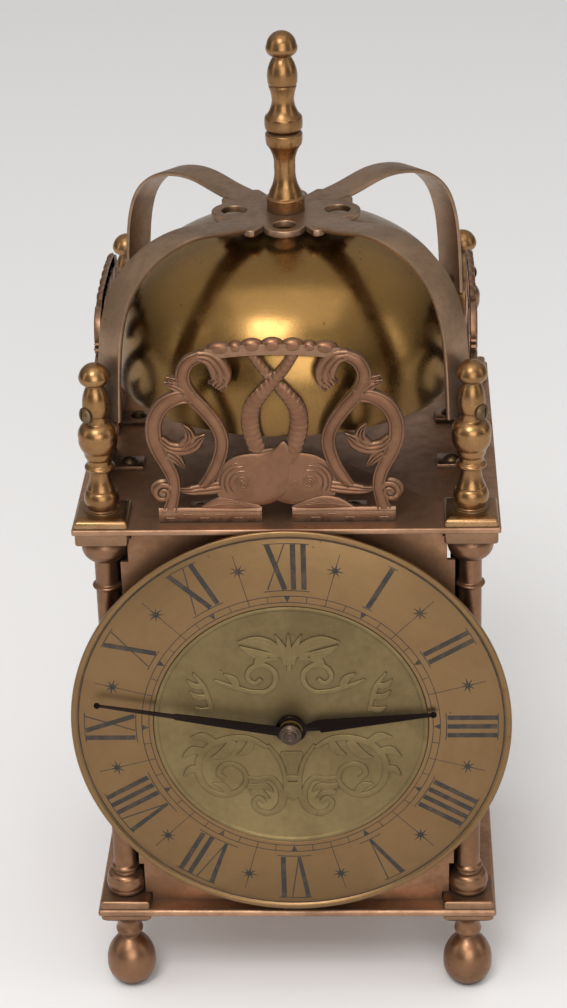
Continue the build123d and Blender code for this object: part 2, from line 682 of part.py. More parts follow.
def make_door_knob():
    y0 = PANEL_BACK + DOOR_GAP + PANEL_T
    knob = turned_y([(0, y0), (1.6, y0), (1.4, y0 + 1.0, -0.1), (2.3, y0 + 2.2, 0.2), (2.1, y0 + 3.2, 0.2),
                     (0, y0 + 3.7, 0.1)], DOORWAY_W / 2 - 3, DIAL_Z)
    return knob + rod_y(DOORWAY_W / 2 - 3, DIAL_Z, SCREW_R, y0 - PANEL_T - 0.5, y0 + 0.2)


def make_hinge_pins():
    pins = []
    for middle in HINGE_ZS:
        pin = rod_z(HINGE_X, hinge_y(), HINGE_PIN_R - PRESS_GAP, middle - HINGE_HALF, middle + HINGE_HALF)
        head_z = middle + HINGE_HALF
        pins.append(pin + rod_z(HINGE_X, hinge_y(), HINGE_PIN_R + 0.5, head_z, head_z + 0.7))
    return pins


# ---- dial ----
def make_dial_plate():
    plate = rod_y(0, DIAL_Z, DIAL_R - 0.3, DIAL_BACK - DIAL_PLATE_T, DIAL_BACK)
    return plate - rod_y(0, DIAL_Z, HOUR_PIPE_R + 0.4, DIAL_BACK - 5, DIAL_BACK + 5)


def make_chapter_ring():
    back = DIAL_BACK - DIAL_PLATE_T
    front = CHAPTER_FRONT
    inner = DIAL_R - RIM_W
    return turned_y([(CENTRE_R, back), (CENTRE_R, front), (inner, front), (inner + 0.4, front - RIM_T, 0.1),
                     (DIAL_R - 0.3, front - RIM_T), (DIAL_R, front - RIM_T + 0.4, 0.1),
                     (DIAL_R, back)], 0, DIAL_Z)


def make_dial_centre():
    """Centre disc with a raised bead round its edge."""
    back = DIAL_BACK - DIAL_PLATE_T
    face = CHAPTER_FRONT + 0.15
    bore = HOUR_PIPE_R + 0.4
    rim = CENTRE_R - CENTRE_RIM_W
    return turned_y([(bore, back), (bore, face), (rim, face), (rim + 0.1, CHAPTER_FRONT - 0.15),
                     (CENTRE_R - 0.15, CHAPTER_FRONT - 0.15, 0.15), (CENTRE_R - 0.02, CHAPTER_FRONT + 0.1),
                     (CENTRE_R - 0.02, back)], 0, DIAL_Z)


def make_dial_feet():
    feet = []
    for x, z in dial_foot_points():
        foot = rod_y(x, z, DIAL_FOOT_R, DIAL_BACK, PANEL_FRONT)
        feet.append(foot + rod_y(x, z, SCREW_R - 0.02, PANEL_FRONT - 0.5, PANEL_FRONT + PANEL_T + 0.5))
    return feet


def hand_shape(half_outline_points, hub_r, bore):
    """Flat hand that points up, from half its outline (half width, height)."""
    right = [(w, h) for w, h in half_outline_points]
    left = [(-w, h) for w, h in reversed(half_outline_points)]
    points = right + left
    face = make_face(Polyline(points + [points[0]]))
    tip = half_outline_points[-1][1]
    face += Circle(hub_r)
    face += Pos(0, tip) * Circle(0.75)
    return face - Circle(bore)


def make_hour_hand():
    outline = [(1.0, 0), (1.0, 4.4), (1.75, 6.2), (0.45, HOUR_HAND_L - 0.8)]
    hand = upright(Rot(0, 0, -REST_HOURS * 30) * hand_shape(outline, 4.0, HOUR_PIPE_R), 0, DIAL_Z,
                   HOUR_HAND_Y, HOUR_HAND_Y + HAND_T)
    return hand


def make_minute_hand():
    outline = [(1.1, 0), (1.25, 4.0), (0.95, 26.0), (0.55, 27.0), (0.35, MINUTE_HAND_L - 0.7)]
    hand = upright(Rot(0, 0, -REST_MINUTES * 6) * hand_shape(outline, 2.9, PIPE_R), 0, DIAL_Z,
                   MINUTE_HAND_Y, MINUTE_HAND_Y + HAND_T)
    return hand


def make_hand_nut():
    y0 = MINUTE_HAND_Y
    nut = turned_y([
        (0, y0), (NUT_R, y0), (NUT_R, y0 - 0.6, 0.1), (1.5, y0 - 1.3, 0.15), (1.1, NUT_FRONT, 0.1),
        (0, NUT_FRONT),
    ], 0, DIAL_Z)
    return nut - rod_y(0, DIAL_Z, CENTRE_R_ARBOR, MINUTE_HAND_Y - 1.3, MINUTE_HAND_Y + 1)


# ---- gears ----
def gear_face(teeth, module, phase, bore, spokes=0):
    """Toothed wheel seen from the front.  Teeth have straight flanks and narrow tips."""
    pitch_r = teeth * module / 2
    pitch = 2 * pi / teeth
    share = TOOTH_SHARE * pitch
    tooth = ((pitch_r - DEDENDUM * module, -share * 0.52), (pitch_r + 0.05 * module, -share * 0.5),
             (pitch_r + ADDENDUM * module, -share * 0.16), (pitch_r + ADDENDUM * module, share * 0.16),
             (pitch_r + 0.05 * module, share * 0.5), (pitch_r - DEDENDUM * module, share * 0.52))
    points = []
    for i in range(teeth):
        middle = radians(phase) + i * pitch
        points += [(r * cos(middle + a), r * sin(middle + a)) for r, a in tooth]
    face = make_face(Polyline(points + [points[0]]))
    if spokes:
        rim = pitch_r - 2.6 * module - 0.4
        hub = bore + 1.6
        gap = Circle(rim) - Circle(hub)
        for i in range(spokes):
            turn = Rot(0, 0, i * 360 / spokes + 22)
            gap -= turn * Pos(rim / 2, 0) * Rectangle(rim, 1.1)
        face -= gap
    return face - Circle(bore)


def meshed(phase, teeth, at, mate_teeth, mate_at):
    """Phase in degrees that puts the mate's gap on this wheel's tooth."""
    towards = degrees(atan2(mate_at[1] - at[1], mate_at[0] - at[0]))
    ahead = (towards - phase) % (360 / teeth)
    return towards + 180 + ahead * teeth / mate_teeth + 180 / mate_teeth


def wheel(at, teeth, module, phase, bore, u0, u1, spokes=0):
    face = gear_face(teeth, module, phase, bore, spokes)
    return upright(face, at[0], at[1], SPACE_0 + u0, SPACE_0 + u1)


def arbor(at, r=ARBOR_R, pivot=PIVOT_R):
    """Arbor between the movement plates with a pivot in each."""
    x, z = at
    body = rod_y(x, z, r, SPACE_0 + 0.25, SPACE_1 - 0.25)
    return body + rod_y(x, z, pivot, MV_FRONT, MV_BACK)


def collar(at, r, u0, u1):
    return rod_y(at[0], at[1], r, SPACE_0 + u0, SPACE_0 + u1)


def make_train_wheel(at, big, small, small_phase, big_u, small_u):
    """Arbor with its wheel and its pinion in one piece."""
    body = arbor(at)
    body += wheel(at, big[0], big[2], 0, ARBOR_R - 0.1, *big_u, spokes=4)
    body += wheel(at, small[1], small[2], small_phase, ARBOR_R - 0.1, *small_u)
    return body + collar(at, 1.7, big_u[0] - 0.4, big_u[1] + 0.4)


# places of the wheels between the plates, measured back from the front plate
INTER_U = (1.2, 2.2)
INTER_PINION_U = (3.6, 6.8)
GREAT_U = (4.4, 5.9)
BARREL_U = (5.9, 18.2)
CENTRE_PINION_U = (0.7, 2.9)
CENTRE_U = (8.6, 9.5)
THIRD_PINION_U = (8.0, 10.2)
THIRD_U = (12.4, 13.2)
FOURTH_PINION_U = (11.8, 13.9)
FOURTH_U = (15.8, 16.5)
ESCAPE_PINION_U = (15.1, 17.3)
ESCAPE_U = (6.0, 6.7)
LEVER_U = (7.1, 7.8)
ROLLER_U = (8.7, 9.3)
BALANCE_U = (11.2, 12.5)
HAIRSPRING_U = (14.2, 14.7)


def make_barrel():
    body = wheel(B_AT, GREAT[0], GREAT[2], 0, BARREL_ARBOR_R + RUNNING_GAP, *GREAT_U)
    drum = tube_y(*B_AT, BARREL_R - BARREL_WALL, BARREL_R, SPACE_0 + BARREL_U[0], SPACE_0 + BARREL_U[1])
    cap = tube_y(*B_AT, BARREL_ARBOR_R + RUNNING_GAP, BARREL_R - BARREL_WALL,
                 SPACE_0 + BARREL_U[1] - 1.0, SPACE_0 + BARREL_U[1])
    return body + drum + cap


def spiral_face(r0, r1, turns, thickness, start=0.0):
    """Flat spiral strip between two radii."""
    count = int(turns * 16)
    inner, outer = [], []
    for i in range(count + 1):
        share = i / count
        angle = radians(start) + share * turns * 2 * pi
        r = r0 + (r1 - r0) * share
        inner.append(((r - thickness / 2) * cos(angle), (r - thickness / 2) * sin(angle)))
        outer.append(((r + thickness / 2) * cos(angle), (r + thickness / 2) * sin(angle)))
    edges = [Spline(*inner), Line(inner[-1], outer[-1]), Spline(*outer[::-1]), Line(outer[0], inner[0])]
    return make_face(edges)


def make_mainspring():
    face = spiral_face(BARREL_ARBOR_R + 2.6, BARREL_R - BARREL_WALL - 0.4, 9, 0.45)
    return upright(face, *B_AT, SPACE_0 + BARREL_U[0] + 0.7, SPACE_0 + BARREL_U[1] - 1.6)


def make_barrel_arbor():
    x, z = B_AT
    body = rod_y(x, z, BARREL_ARBOR_R, SPACE_0 + 0.25, SPACE_1 - 0.25)
    body += rod_y(x, z, SPRING_HUB_R, SPACE_0 + BARREL_U[0] + 0.3, SPACE_0 + BARREL_U[1] - 1.3)
    body += rod_y(x, z, BARREL_PIVOT_R, MV_FRONT, SPACE_0 + 1)
    body += rod_y(x, z, WIND_PIVOT_R, SPACE_1 - 1, MV_BACK + 2.4)
    square = Rot(0, 0, 45) * Rectangle(KEY_SQUARE, KEY_SQUARE)
    return body + upright(square, x, z, MV_BACK + 2.0, MV_BACK + 12)


def make_ratchet_wheel():
    points = []
    for i in range(RATCHET_TEETH):
        a = 2 * pi * i / RATCHET_TEETH + radians(CLICK_TURN)
        root = RATCHET_R - RATCHET_DEPTH
        points += [(RATCHET_R * cos(a), RATCHET_R * sin(a)), (root * cos(a + 0.03), root * sin(a + 0.03))]
    face = make_face(Polyline(points + [points[0]])) - Circle(WIND_PIVOT_R)
    return upright(face, *B_AT, *RATCHET_Y)


def make_winding_key():
    x, z = B_AT
    y0 = MV_BACK + 3.0
    body = rod_y(x, z, 2.7, y0, y0 + 11)
    body -= upright(Rot(0, 0, 45) * Rectangle(KEY_SQUARE, KEY_SQUARE), x, z, y0 - 1, y0 + 9.0)
    wing = Pos(6.0, 0) * Circle(5.0) + Pos(-6.0, 0) * Circle(5.0) + Rectangle(8, 5)
    wing -= Pos(6.4, 0) * Circle(2.2) + Pos(-6.4, 0) * Circle(2.2)
    plane = Plane(origin=(x, y0 + 14.0, z - 0.8), x_dir=(1, 0, 0), z_dir=(0, 0, 1))
    return body + plane * extrude(wing, 1.6)


def make_click():
    """Pawl that stands in line with the ratchet's rim, its tip just clear of a tooth's crest."""
    x, z = CLICK_AT
    body = tube_y(x, z, CLICK_STUD_R + RUNNING_GAP, 1.9, *RATCHET_Y)
    outline = [(0, -1.2), (CLICK_L, 0), (CLICK_L - 0.4, 0.9), (0, 1.5), (0, -1.2)]
    arm = make_face(Polyline(outline)) - Circle(1.4)
    return body + upright(Rot(0, 0, CLICK_TURN - 90) * arm, x, z, *RATCHET_Y)


# ---- centre arbor, motion work ----
CANNON_Y = (-36.2, -33.6)
MINUTE_WHEEL_Y = (-35.5, -34.6)
MINUTE_PINION_Y = (-38.2, -35.5)
HOUR_WHEEL_Y = (-37.5, -36.5)


def make_centre_arbor():
    x, z = C_AT
    body = rod_y(x, z, CENTRE_R_ARBOR, NUT_FRONT + 0.9, MV_BACK + 3)
    square = Rot(0, 0, 45) * Rectangle(1.6, 1.6)
    body += upright(square, x, z, MV_BACK + 2.5, MV_BACK + 9)
    body += rod_y(x, z, 1.9, SPACE_1 - 2.6, SPACE_1 - 0.3)
    return body


def make_cannon_pinion():
    face = gear_face(MOTION[1], MOTION[2], 0, CENTRE_R_ARBOR)
    body = upright(face, *C_AT, *CANNON_Y)
    return body + tube_y(*C_AT, CENTRE_R_ARBOR, PIPE_R, MINUTE_HAND_Y, CANNON_Y[1])


def make_centre_wheel():
    phase = meshed(0, INTER[0], I_AT, INTER[1], C_AT)
    bore = CENTRE_R_ARBOR + RUNNING_GAP
    body = wheel(C_AT, INTER[1], INTER[2], phase, bore, *CENTRE_PINION_U)
    body += wheel(C_AT, CENTRE[0], CENTRE[2], 0, bore, *CENTRE_U, spokes=4)
    return body + tube_y(*C_AT, bore, PIPE_R, SPACE_0 + CENTRE_PINION_U[0], SPACE_0 + 14.0)


def make_minute_wheel():
    bore = ARBOR_R + RUNNING_GAP
    phase = meshed(0, MOTION[1], C_AT, MOTION[0], M_AT)
    body = upright(gear_face(MOTION[0], MOTION[2], phase, bore, 4), *M_AT, *MINUTE_WHEEL_Y)
    return body + upright(gear_face(HOUR[1], HOUR[2], 0, bore), *M_AT, *MINUTE_PINION_Y)


def make_hour_wheel():
    bore = PIPE_R + RUNNING_GAP
    phase = meshed(0, HOUR[1], M_AT, HOUR[0], C_AT)
    body = upright(gear_face(HOUR[0], HOUR[2], phase, bore, 4), *C_AT, *HOUR_WHEEL_Y)
    return body + tube_y(*C_AT, bore, HOUR_PIPE_R, HOUR_HAND_Y, HOUR_WHEEL_Y[1])


# ---- escapement and balance ----
PALLET_SPREAD = 42.0
PALLET_PIN_R = 0.3
PALLET_REACH = ESCAPE_R + 0.25 + PALLET_PIN_R


def make_escape_wheel():
    pitch = 360 / ESCAPE_TEETH
    first = ESCAPE_LINE + PALLET_SPREAD + pitch / 4
    points = []
    for i in range(ESCAPE_TEETH):
        a = radians(first + i * pitch)
        for r, turn in ((ESCAPE_ROOT_R, -0.16), (ESCAPE_R, -0.015), (ESCAPE_R, 0.015), (ESCAPE_ROOT_R, 0.05)):
            points.append((r * cos(a + turn), r * sin(a + turn)))
    face = make_face(Polyline(points + [points[0]])) - Circle(ARBOR_R - 0.1)
    gap = Circle(3.5) - Circle(1.7)
    for turn in (0, 90):
        gap -= Rot(0, 0, turn) * Rectangle(8, 0.9)
    body = arbor(E_AT) + upright(face - gap, *E_AT, SPACE_0 + ESCAPE_U[0], SPACE_0 + ESCAPE_U[1])
    phase = meshed(0, FOURTH[0], F_AT, FOURTH[1], E_AT)
    return body + wheel(E_AT, FOURTH[1], FOURTH[2], phase, ARBOR_R - 0.1, *ESCAPE_PINION_U)


def bar_between(a, b, width):
    """Flat bar from one point to another."""
    length = hypot(b[0] - a[0], b[1] - a[1])
    turn = Rot(0, 0, degrees(atan2(b[1] - a[1], b[0] - a[0])))
    return Pos(*a) * turn * (Pos(length / 2, 0) * Rectangle(length, width))


def make_lever():
    y0, y1 = SPACE_0 + LEVER_U[0], SPACE_0 + LEVER_U[1]
    flat = Circle(1.7)
    pins = None
    for side in (-1, 1):
        a = radians(ESCAPE_LINE + side * PALLET_SPREAD)
        at = (E_AT[0] + PALLET_REACH * cos(a), E_AT[1] + PALLET_REACH * sin(a))
        local = (at[0] - L_AT[0], at[1] - L_AT[1])
        flat += bar_between((0, 0), local, 1.0)
        flat += Pos(*local) * Circle(0.7)
        pin = rod_y(*at, PALLET_PIN_R, SPACE_0 + ESCAPE_U[0] - 0.4, y0 + 0.1)
        pins = pin if pins is None else pins + pin
    line = (cos(radians(ESCAPE_LINE)), sin(radians(ESCAPE_LINE)))
    end = LEVER_TO_BALANCE - 3.0
    flat += bar_between((0, 0), (line[0] * end, line[1] * end), 1.0)
    for side in (-1, 1):
        horn = Rot(0, 0, ESCAPE_LINE) * Pos(end, side * 0.75) * Rectangle(2.4, 0.7)
        flat += horn
    flat += Rot(0, 0, ESCAPE_LINE) * Pos(end - 0.9, 0) * Rectangle(0.9, 2.2)
    return arbor(L_AT) + upright(flat, *L_AT, y0, y1) + pins


def make_balance():
    x, z = W_AT
    rim = Circle(BALANCE_R) - Circle(BALANCE_R - 1.2)
    rim += Circle(1.8)
    for turn in (0, 60, 120):
        rim += Rot(0, 0, turn) * Rectangle(2 * BALANCE_R - 1, 1.0)
    body = arbor(W_AT, 0.6, 0.3) + upright(rim, x, z, SPACE_0 + BALANCE_U[0], SPACE_0 + BALANCE_U[1])
    body += rod_y(x, z, 2.4, SPACE_0 + ROLLER_U[0], SPACE_0 + ROLLER_U[1])
    a = radians(ESCAPE_LINE + 180)
    pin_y = (SPACE_0 + LEVER_U[1] + 0.3, SPACE_0 + ROLLER_U[0] + 0.1)
    body += rod_y(x + 1.8 * cos(a), z + 1.8 * sin(a), 0.25, *pin_y)
    return body + rod_y(x, z, 1.3, SPACE_0 + HAIRSPRING_U[0] - 0.4, SPACE_0 + HAIRSPRING_U[1] + 0.3)


def make_hairspring():
    face = spiral_face(1.5, 5.2, 5, 0.12, 30)
    return upright(face, *W_AT, SPACE_0 + HAIRSPRING_U[0], SPACE_0 + HAIRSPRING_U[1])


# ---- movement plates ----
def movement_plate(y0, y1, big_holes):
    sketch = Pos(0, 0) * RectangleRounded(2 * MV_HALF_W, MV_Z1 - MV_Z0, 3.0)
    plate = upright(sketch, 0, (MV_Z0 + MV_Z1) / 2, y0, y1)
    holes = [(at, PIVOT_R + RUNNING_GAP) for at in (I_AT, T_AT, F_AT, E_AT, L_AT)]
    holes += [(W_AT, 0.3 + RUNNING_GAP), (C_AT, CENTRE_R_ARBOR + RUNNING_GAP)]
    holes += [(at, SCREW_R) for at in pillar_points()]
    for (x, z), r in holes + big_holes:
        plate -= rod_y(x, z, r, y0 - 1, y1 + 1)
    return plate


def make_front_plate():
    return movement_plate(MV_FRONT, SPACE_0, [(B_AT, BARREL_PIVOT_R + RUNNING_GAP), (M_AT, ARBOR_R)])


def make_back_plate():
    return movement_plate(SPACE_1, MV_BACK, [(B_AT, WIND_PIVOT_R + RUNNING_GAP), (CLICK_AT, CLICK_STUD_R)])


def make_pillars():
    """Four pillars between the plates, and the four spacers that hold the plates off the front panel."""
    y0 = PANEL_FRONT + PANEL_T
    pillars = [tube_y(x, z, SCREW_R, PILLAR_R, y0, MV_FRONT) for x, z in pillar_points()]
    for x, z in pillar_points():
        mid = (SPACE_0 + SPACE_1) / 2
        pillar = turned_y([
            (0, SPACE_0), (PILLAR_R, SPACE_0), (PILLAR_R, SPACE_0 + 2), (1.9, SPACE_0 + 3), (2.2, mid, 0.1),
            (1.9, SPACE_1 - 3, 0.1), (PILLAR_R, SPACE_1 - 2), (PILLAR_R, SPACE_1), (0, SPACE_1),
        ], x, z)
        pillars.append(pillar - rod_y(x, z, SCREW_R, SPACE_0 - 1, SPACE_1 + 1))
    return pillars


def make_movement_screws():
    """Four screws in from the front panel and four from the back plate."""
    screws = []
    long_screw = Rot(90, 0, 0) * make_round_screw(13.0)
    short_screw = Rot(-90, 0, 0) * make_round_screw(5.0)
    for x, z in pillar_points():
        screws.append(Pos(x, PANEL_FRONT, z) * long_screw)
        screws.append(Pos(x, MV_BACK, z) * short_screw)
    return screws


def make_studs():
    """Studs that the minute wheel and the click turn on."""
    x, z = M_AT
    end = MINUTE_PINION_Y[0] - 0.2
    minute_stud = rod_y(x, z, ARBOR_R, end, SPACE_0) + rod_y(x, z, 1.5, end - 0.8, end)
    x, z = CLICK_AT
    click_stud = rod_y(x, z, CLICK_STUD_R, SPACE_1, MV_BACK + 1.6)
    click_stud += rod_y(x, z, 1.6, MV_BACK + 1.6, MV_BACK + 2.5)
    return minute_stud, click_stud


def make_third_wheel():
    phase = meshed(0, CENTRE[0], C_AT, CENTRE[1], T_AT)
    return make_train_wheel(T_AT, THIRD, CENTRE, phase, THIRD_U, THIRD_PINION_U)


def make_fourth_wheel():
    phase = meshed(0, THIRD[0], T_AT, THIRD[1], F_AT)
    return make_train_wheel(F_AT, FOURTH, THIRD, phase, FOURTH_U, FOURTH_PINION_U)


def make_intermediate_wheel():
    phase = meshed(0, GREAT[0], B_AT, GREAT[1], I_AT)
    return make_train_wheel(I_AT, INTER, GREAT, phase, INTER_U, INTER_PINION_U)


def main():
    save("base_plate", make_plate(BASE_Z, BASE_TOP))
    top_plate = make_plate(TOP_Z, TOP_TOP)
    for x, y in lug_points():
        top_plate -= rod_z(x, y, SCREW_R, TOP_Z - 1, TOP_TOP + 1)
    save("top_plate", top_plate)
    for corner, (x, y) in CORNERS.items():
        save(f"column_{corner}", make_column(x, y))
        save(f"foot_{corner}", make_foot(x, y))
        save(f"finial_{corner}", make_finial(x, y))
    save("centre_finial_base", make_centre_finial_base())
    save("centre_finial_top", make_centre_finial_top())
    save("bell", make_bell())
    save("bell_frame", make_crown())
    save("bell_bolt", *make_bell_bolt())
    save("frame_screws", *make_frame_screws())

    sketch = fret_sketch()
    save("fret_front", Pos(FRET_FRONT_X, FRET_FRONT_Y, 0) * make_fret(sketch, FRONT_LUG_U))
    side_fret = make_fret(sketch, SIDE_LUG_U)
    save("fret_left", Rot(0, 0, -90) * Pos(0, -FRET_SIDE_X - FRET_T, 0) * side_fret)
    save("fret_right", Rot(0, 0, 90) * Pos(0, -FRET_SIDE_X - FRET_T, 0) * side_fret)

    save("front_panel", make_front_panel())
    save("left_panel", make_side_panel(-1))
    save("right_panel", make_side_panel(1))
    save("back_panel", make_back_panel())
    save("back_door", make_back_door())
    save("hinge_pins", *make_hinge_pins())
    save("door_knob", make_door_knob())

    save("dial_plate", make_dial_plate())
    save("chapter_ring", make_chapter_ring())
    save("dial_centre", make_dial_centre())
    save("dial_feet", *make_dial_feet())
    save("hour_hand", make_hour_hand())
    save("minute_hand", make_minute_hand())
    save("hand_nut", make_hand_nut())

    save("movement_front_plate", make_front_plate())
    save("movement_back_plate", make_back_plate())
    save("movement_pillars", *make_pillars())
    save("movement_screws", *make_movement_screws())
    save("centre_arbor", make_centre_arbor())
    save("cannon_pinion", make_cannon_pinion())
    save("centre_wheel", make_centre_wheel())
    save("minute_wheel", make_minute_wheel())
    save("movement_studs", *make_studs())
    save("hour_wheel", make_hour_wheel())
    save("intermediate_wheel", make_intermediate_wheel())
    save("third_wheel", make_third_wheel())
    save("fourth_wheel", make_fourth_wheel())
    save("escape_wheel", make_escape_wheel())
    save("pallet_lever", make_lever())
    save("balance_wheel", make_balance())
    save("hairspring", make_hairspring())
    save("barrel", make_barrel())
    save("mainspring", make_mainspring())
    save("barrel_arbor", make_barrel_arbor())
    save("ratchet_wheel", make_ratchet_wheel())
    save("winding_key", make_winding_key())
    save("click", make_click())


main()
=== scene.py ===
from math import atan2, ceil, cos, degrees, hypot, pi, radians, sin, sqrt

import bmesh
import bpy
from mathutils import Matrix, Vector


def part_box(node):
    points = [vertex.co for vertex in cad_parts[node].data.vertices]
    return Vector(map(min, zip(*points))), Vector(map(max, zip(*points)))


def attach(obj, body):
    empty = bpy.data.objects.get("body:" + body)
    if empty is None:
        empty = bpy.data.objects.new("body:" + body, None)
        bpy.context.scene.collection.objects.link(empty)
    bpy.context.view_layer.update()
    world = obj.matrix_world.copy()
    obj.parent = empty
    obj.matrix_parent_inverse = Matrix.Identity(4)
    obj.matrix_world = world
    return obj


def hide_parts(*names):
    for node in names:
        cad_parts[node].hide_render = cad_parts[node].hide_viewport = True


bl_info = {
    "name": "Lantern clock",
    "version": (1, 0, 0),
    "blender": (4, 5, 0),
    "location": "3D View > Sidebar > Lantern clock",
    "description": "Dresses the lantern clock's frame with turned brass, cast frets, an engraved dial and a bell",
    "category": "Object",
}

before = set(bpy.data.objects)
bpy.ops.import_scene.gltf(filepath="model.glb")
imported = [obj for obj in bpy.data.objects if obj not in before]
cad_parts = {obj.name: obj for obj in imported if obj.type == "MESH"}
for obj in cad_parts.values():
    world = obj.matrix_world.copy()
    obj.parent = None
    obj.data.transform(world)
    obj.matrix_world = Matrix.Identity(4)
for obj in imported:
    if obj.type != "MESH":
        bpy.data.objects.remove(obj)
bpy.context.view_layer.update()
MM = 0.001
CORNERS = ("front_left", "front_right", "back_left", "back_right")


# ---------------------------------------------------------------- sizes and colours
def srgb(red, green, blue):
    """Linear colour of a shade given as it looks on a screen, 0 to 255."""
    return tuple(((c / 255 + 0.055) / 1.055) ** 2.4 if c > 10 else c / 255 / 12.92 for c in (red, green, blue))


def shade(name, description, red, green, blue):
    return bpy.props.FloatVectorProperty(
        name=name, description=description, subtype="COLOR", size=3, min=0, max=1, default=srgb(red, green, blue)
    )


def size(name, description, millimetres):
    return bpy.props.FloatProperty(
        name=name, description=description, unit="LENGTH", subtype="DISTANCE", default=millimetres * MM
    )


class LanternColours(bpy.types.PropertyGroup):
    """Shades of the clock's metals."""

    # Each dark shade is the metal's patina, and also the base of the soot in its hollows: dirt and painted shade.
    bell: shade("Bell", "Polished golden brass of the bell", 146, 113, 66)
    bell_dark: shade("Bell patina", "Brown patina low on the bell", 92, 68, 42)
    turned: shade("Turned brass", "Finials, polished by handling", 152, 115, 76)
    turned_dark: shade("Turned brass patina", "Dark brass in the grooves", 86, 62, 40)
    column: shade("Columns", "Reddish brass of columns and feet", 144, 108, 82)
    column_dark: shade("Column patina", "Dark brass round the rings", 86, 62, 46)
    fret: shade("Frets", "Copper brown cast brass", 132, 96, 74)
    fret_dark: shade("Fret patina", "Dirt in the fret's grooves", 72, 50, 38)
    strap: shade("Straps", "Dull brown brass of the bell's frame", 162, 134, 110)
    strap_dark: shade("Strap patina", "Darkest brown of the straps", 92, 74, 58)
    plate: shade("Plates", "Brown brass of the base and top plates", 182, 144, 116)
    case: shade("Case", "Stained brown brass of the case", 172, 132, 102)
    case_dark: shade("Case stain", "Dark stain on the case", 112, 82, 60)
    chapter: shade("Chapter ring", "Brushed brown brass of the dial", 136, 109, 76)
    chapter_dark: shade("Chapter ring patina", "Darker cloud on the dial", 114, 88, 60)
    centre: shade("Dial centre", "Matte olive patina", 131, 114, 80)
    centre_dark: shade("Dial centre patina", "Darker olive round the relief", 104, 88, 60)
    ink: shade("Dial ink", "Black wax in the numerals", 30, 24, 18)
    hands: shade("Hands", "Nearly black steel", 30, 22, 20)


class LanternSizes(bpy.types.PropertyGroup):
    """Sizes that a maker would change."""

    corner_round: size("Eased corner", "Rounding of turned corners", 0.16)
    thick_stroke: size("Thick stroke", "Thick strokes of the numerals", 1.2)
    thin_stroke: size("Thin stroke", "Thin strokes of the numerals", 0.28)
    relief: size("Relief", "Height of the dial centre's relief", 0.34)


class LanternStage(bpy.types.PropertyGroup):
    """Floor, lamps and camera."""

    floor: shade("Floor", "Pale floor and backdrop", 236, 237, 240)
    focal: bpy.props.FloatProperty(name="Lens", description="Focal length", unit="CAMERA", default=91.33)
    ceiling: bpy.props.FloatProperty(name="Ceiling light", description="Power of the soft lamp above", default=4.9)


def colours():
    return bpy.context.scene.lantern_colours


def sizes():
    return bpy.context.scene.lantern_sizes


def middle(node):
    """Middle of a node's box, in millimetres."""
    low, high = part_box(node)
    return (low + high) / 2 / MM


# ---------------------------------------------------------------- mesh helpers, in millimetres
class Shape:
    """Gathers rows of points into one mesh.  place turns a local point into x, y, z."""

    def __init__(self, place=None):
        self.place = place or (lambda a, b, c: (a, b, c))
        self.verts = []
        self.faces = []

    def rows(self, rows, round_about=False, start_cap=False, end_cap=False):
        """Skin over rows of equally many points."""
        first = len(self.verts)
        count = len(rows[0])
        for row in rows:
            self.verts += [self.place(*point) for point in row]
        across = count if round_about else count - 1
        for i in range(len(rows) - 1):
            for j in range(across):
                a = first + i * count + j
                b = first + i * count + (j + 1) % count
                self.faces.append((a, b, b + count, a + count))
        last = first + (len(rows) - 1) * count
        if start_cap:
            self.faces.append(tuple(range(first + count - 1, first - 1, -1)))
        if end_cap:
            self.faces.append(tuple(range(last, last + count)))

    def plate(self, outline, depth):
        """Flat face with a given outline, at one depth."""
        first = len(self.verts)
        self.verts += [self.place(u, v, depth) for u, v in outline]
        self.faces.append(tuple(range(first, first + len(outline))))

    def piece(self, name, material, slot, body="frame", replaces=(), sharp=38, closed=True):
        mesh = bpy.data.meshes.new(name)
        mesh.from_pydata([Vector(v) * MM for v in self.verts], [], self.faces)
        if closed:
            turn_faces_out(mesh)
        return finished(mesh, name, material, body, replaces, sharp)


def turn_faces_out(mesh):
    """Makes every face of closed shells look outwards."""
    work = bmesh.new()
    work.from_mesh(mesh)
    bmesh.ops.remove_doubles(work, verts=work.verts, dist=1e-7)
    bmesh.ops.recalc_face_normals(work, faces=work.faces)
    work.to_mesh(mesh)
    work.free()


def finished(mesh, name, material, body, replaces, sharp):
    """Makes a mesh into a piece of the clock that rides on a body."""
    mesh.validate()
    for polygon in mesh.polygons:
        polygon.use_smooth = True
    mesh.set_sharp_from_angle(angle=radians(sharp))
    piece = bpy.data.objects.new(name, mesh)
    bpy.context.scene.collection.objects.link(piece)
    piece.data.materials.append(material)
    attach(piece, body)
    if replaces:
        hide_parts(*replaces)
    return piece


def arc_points(r0, z0, r1, z1, bow, count=7):
    """Points after the first on the arc between two, bowed outwards by bow."""
    length = hypot(r1 - r0, z1 - z0)
    side = ((z1 - z0) / length, -(r1 - r0) / length)
    radius = (length ** 2 / 4 + bow ** 2) / (2 * abs(bow))
    half = atan2(length / 2, radius - abs(bow))
    points = []
    for i in range(1, count + 1):
        angle = -half + 2 * half * i / count
        along = (radius * sin(angle) / (length / 2)) * 0.5 + 0.5
        rise = (radius * cos(angle) - radius + abs(bow)) * (1 if bow > 0 else -1)
        points.append((r0 + (r1 - r0) * along + side[0] * rise, z0 + (z1 - z0) * along + side[1] * rise))
    return points


def dome_bow(r0, z0, z1):
    """Bow of an arc that ends on the axis and is round about it."""
    radius = (r0 ** 2 + (z1 - z0) ** 2) / (2 * (z1 - z0))
    half_chord = hypot(r0, z1 - z0) / 2
    return radius - sqrt(max(radius ** 2 - half_chord ** 2, 0))


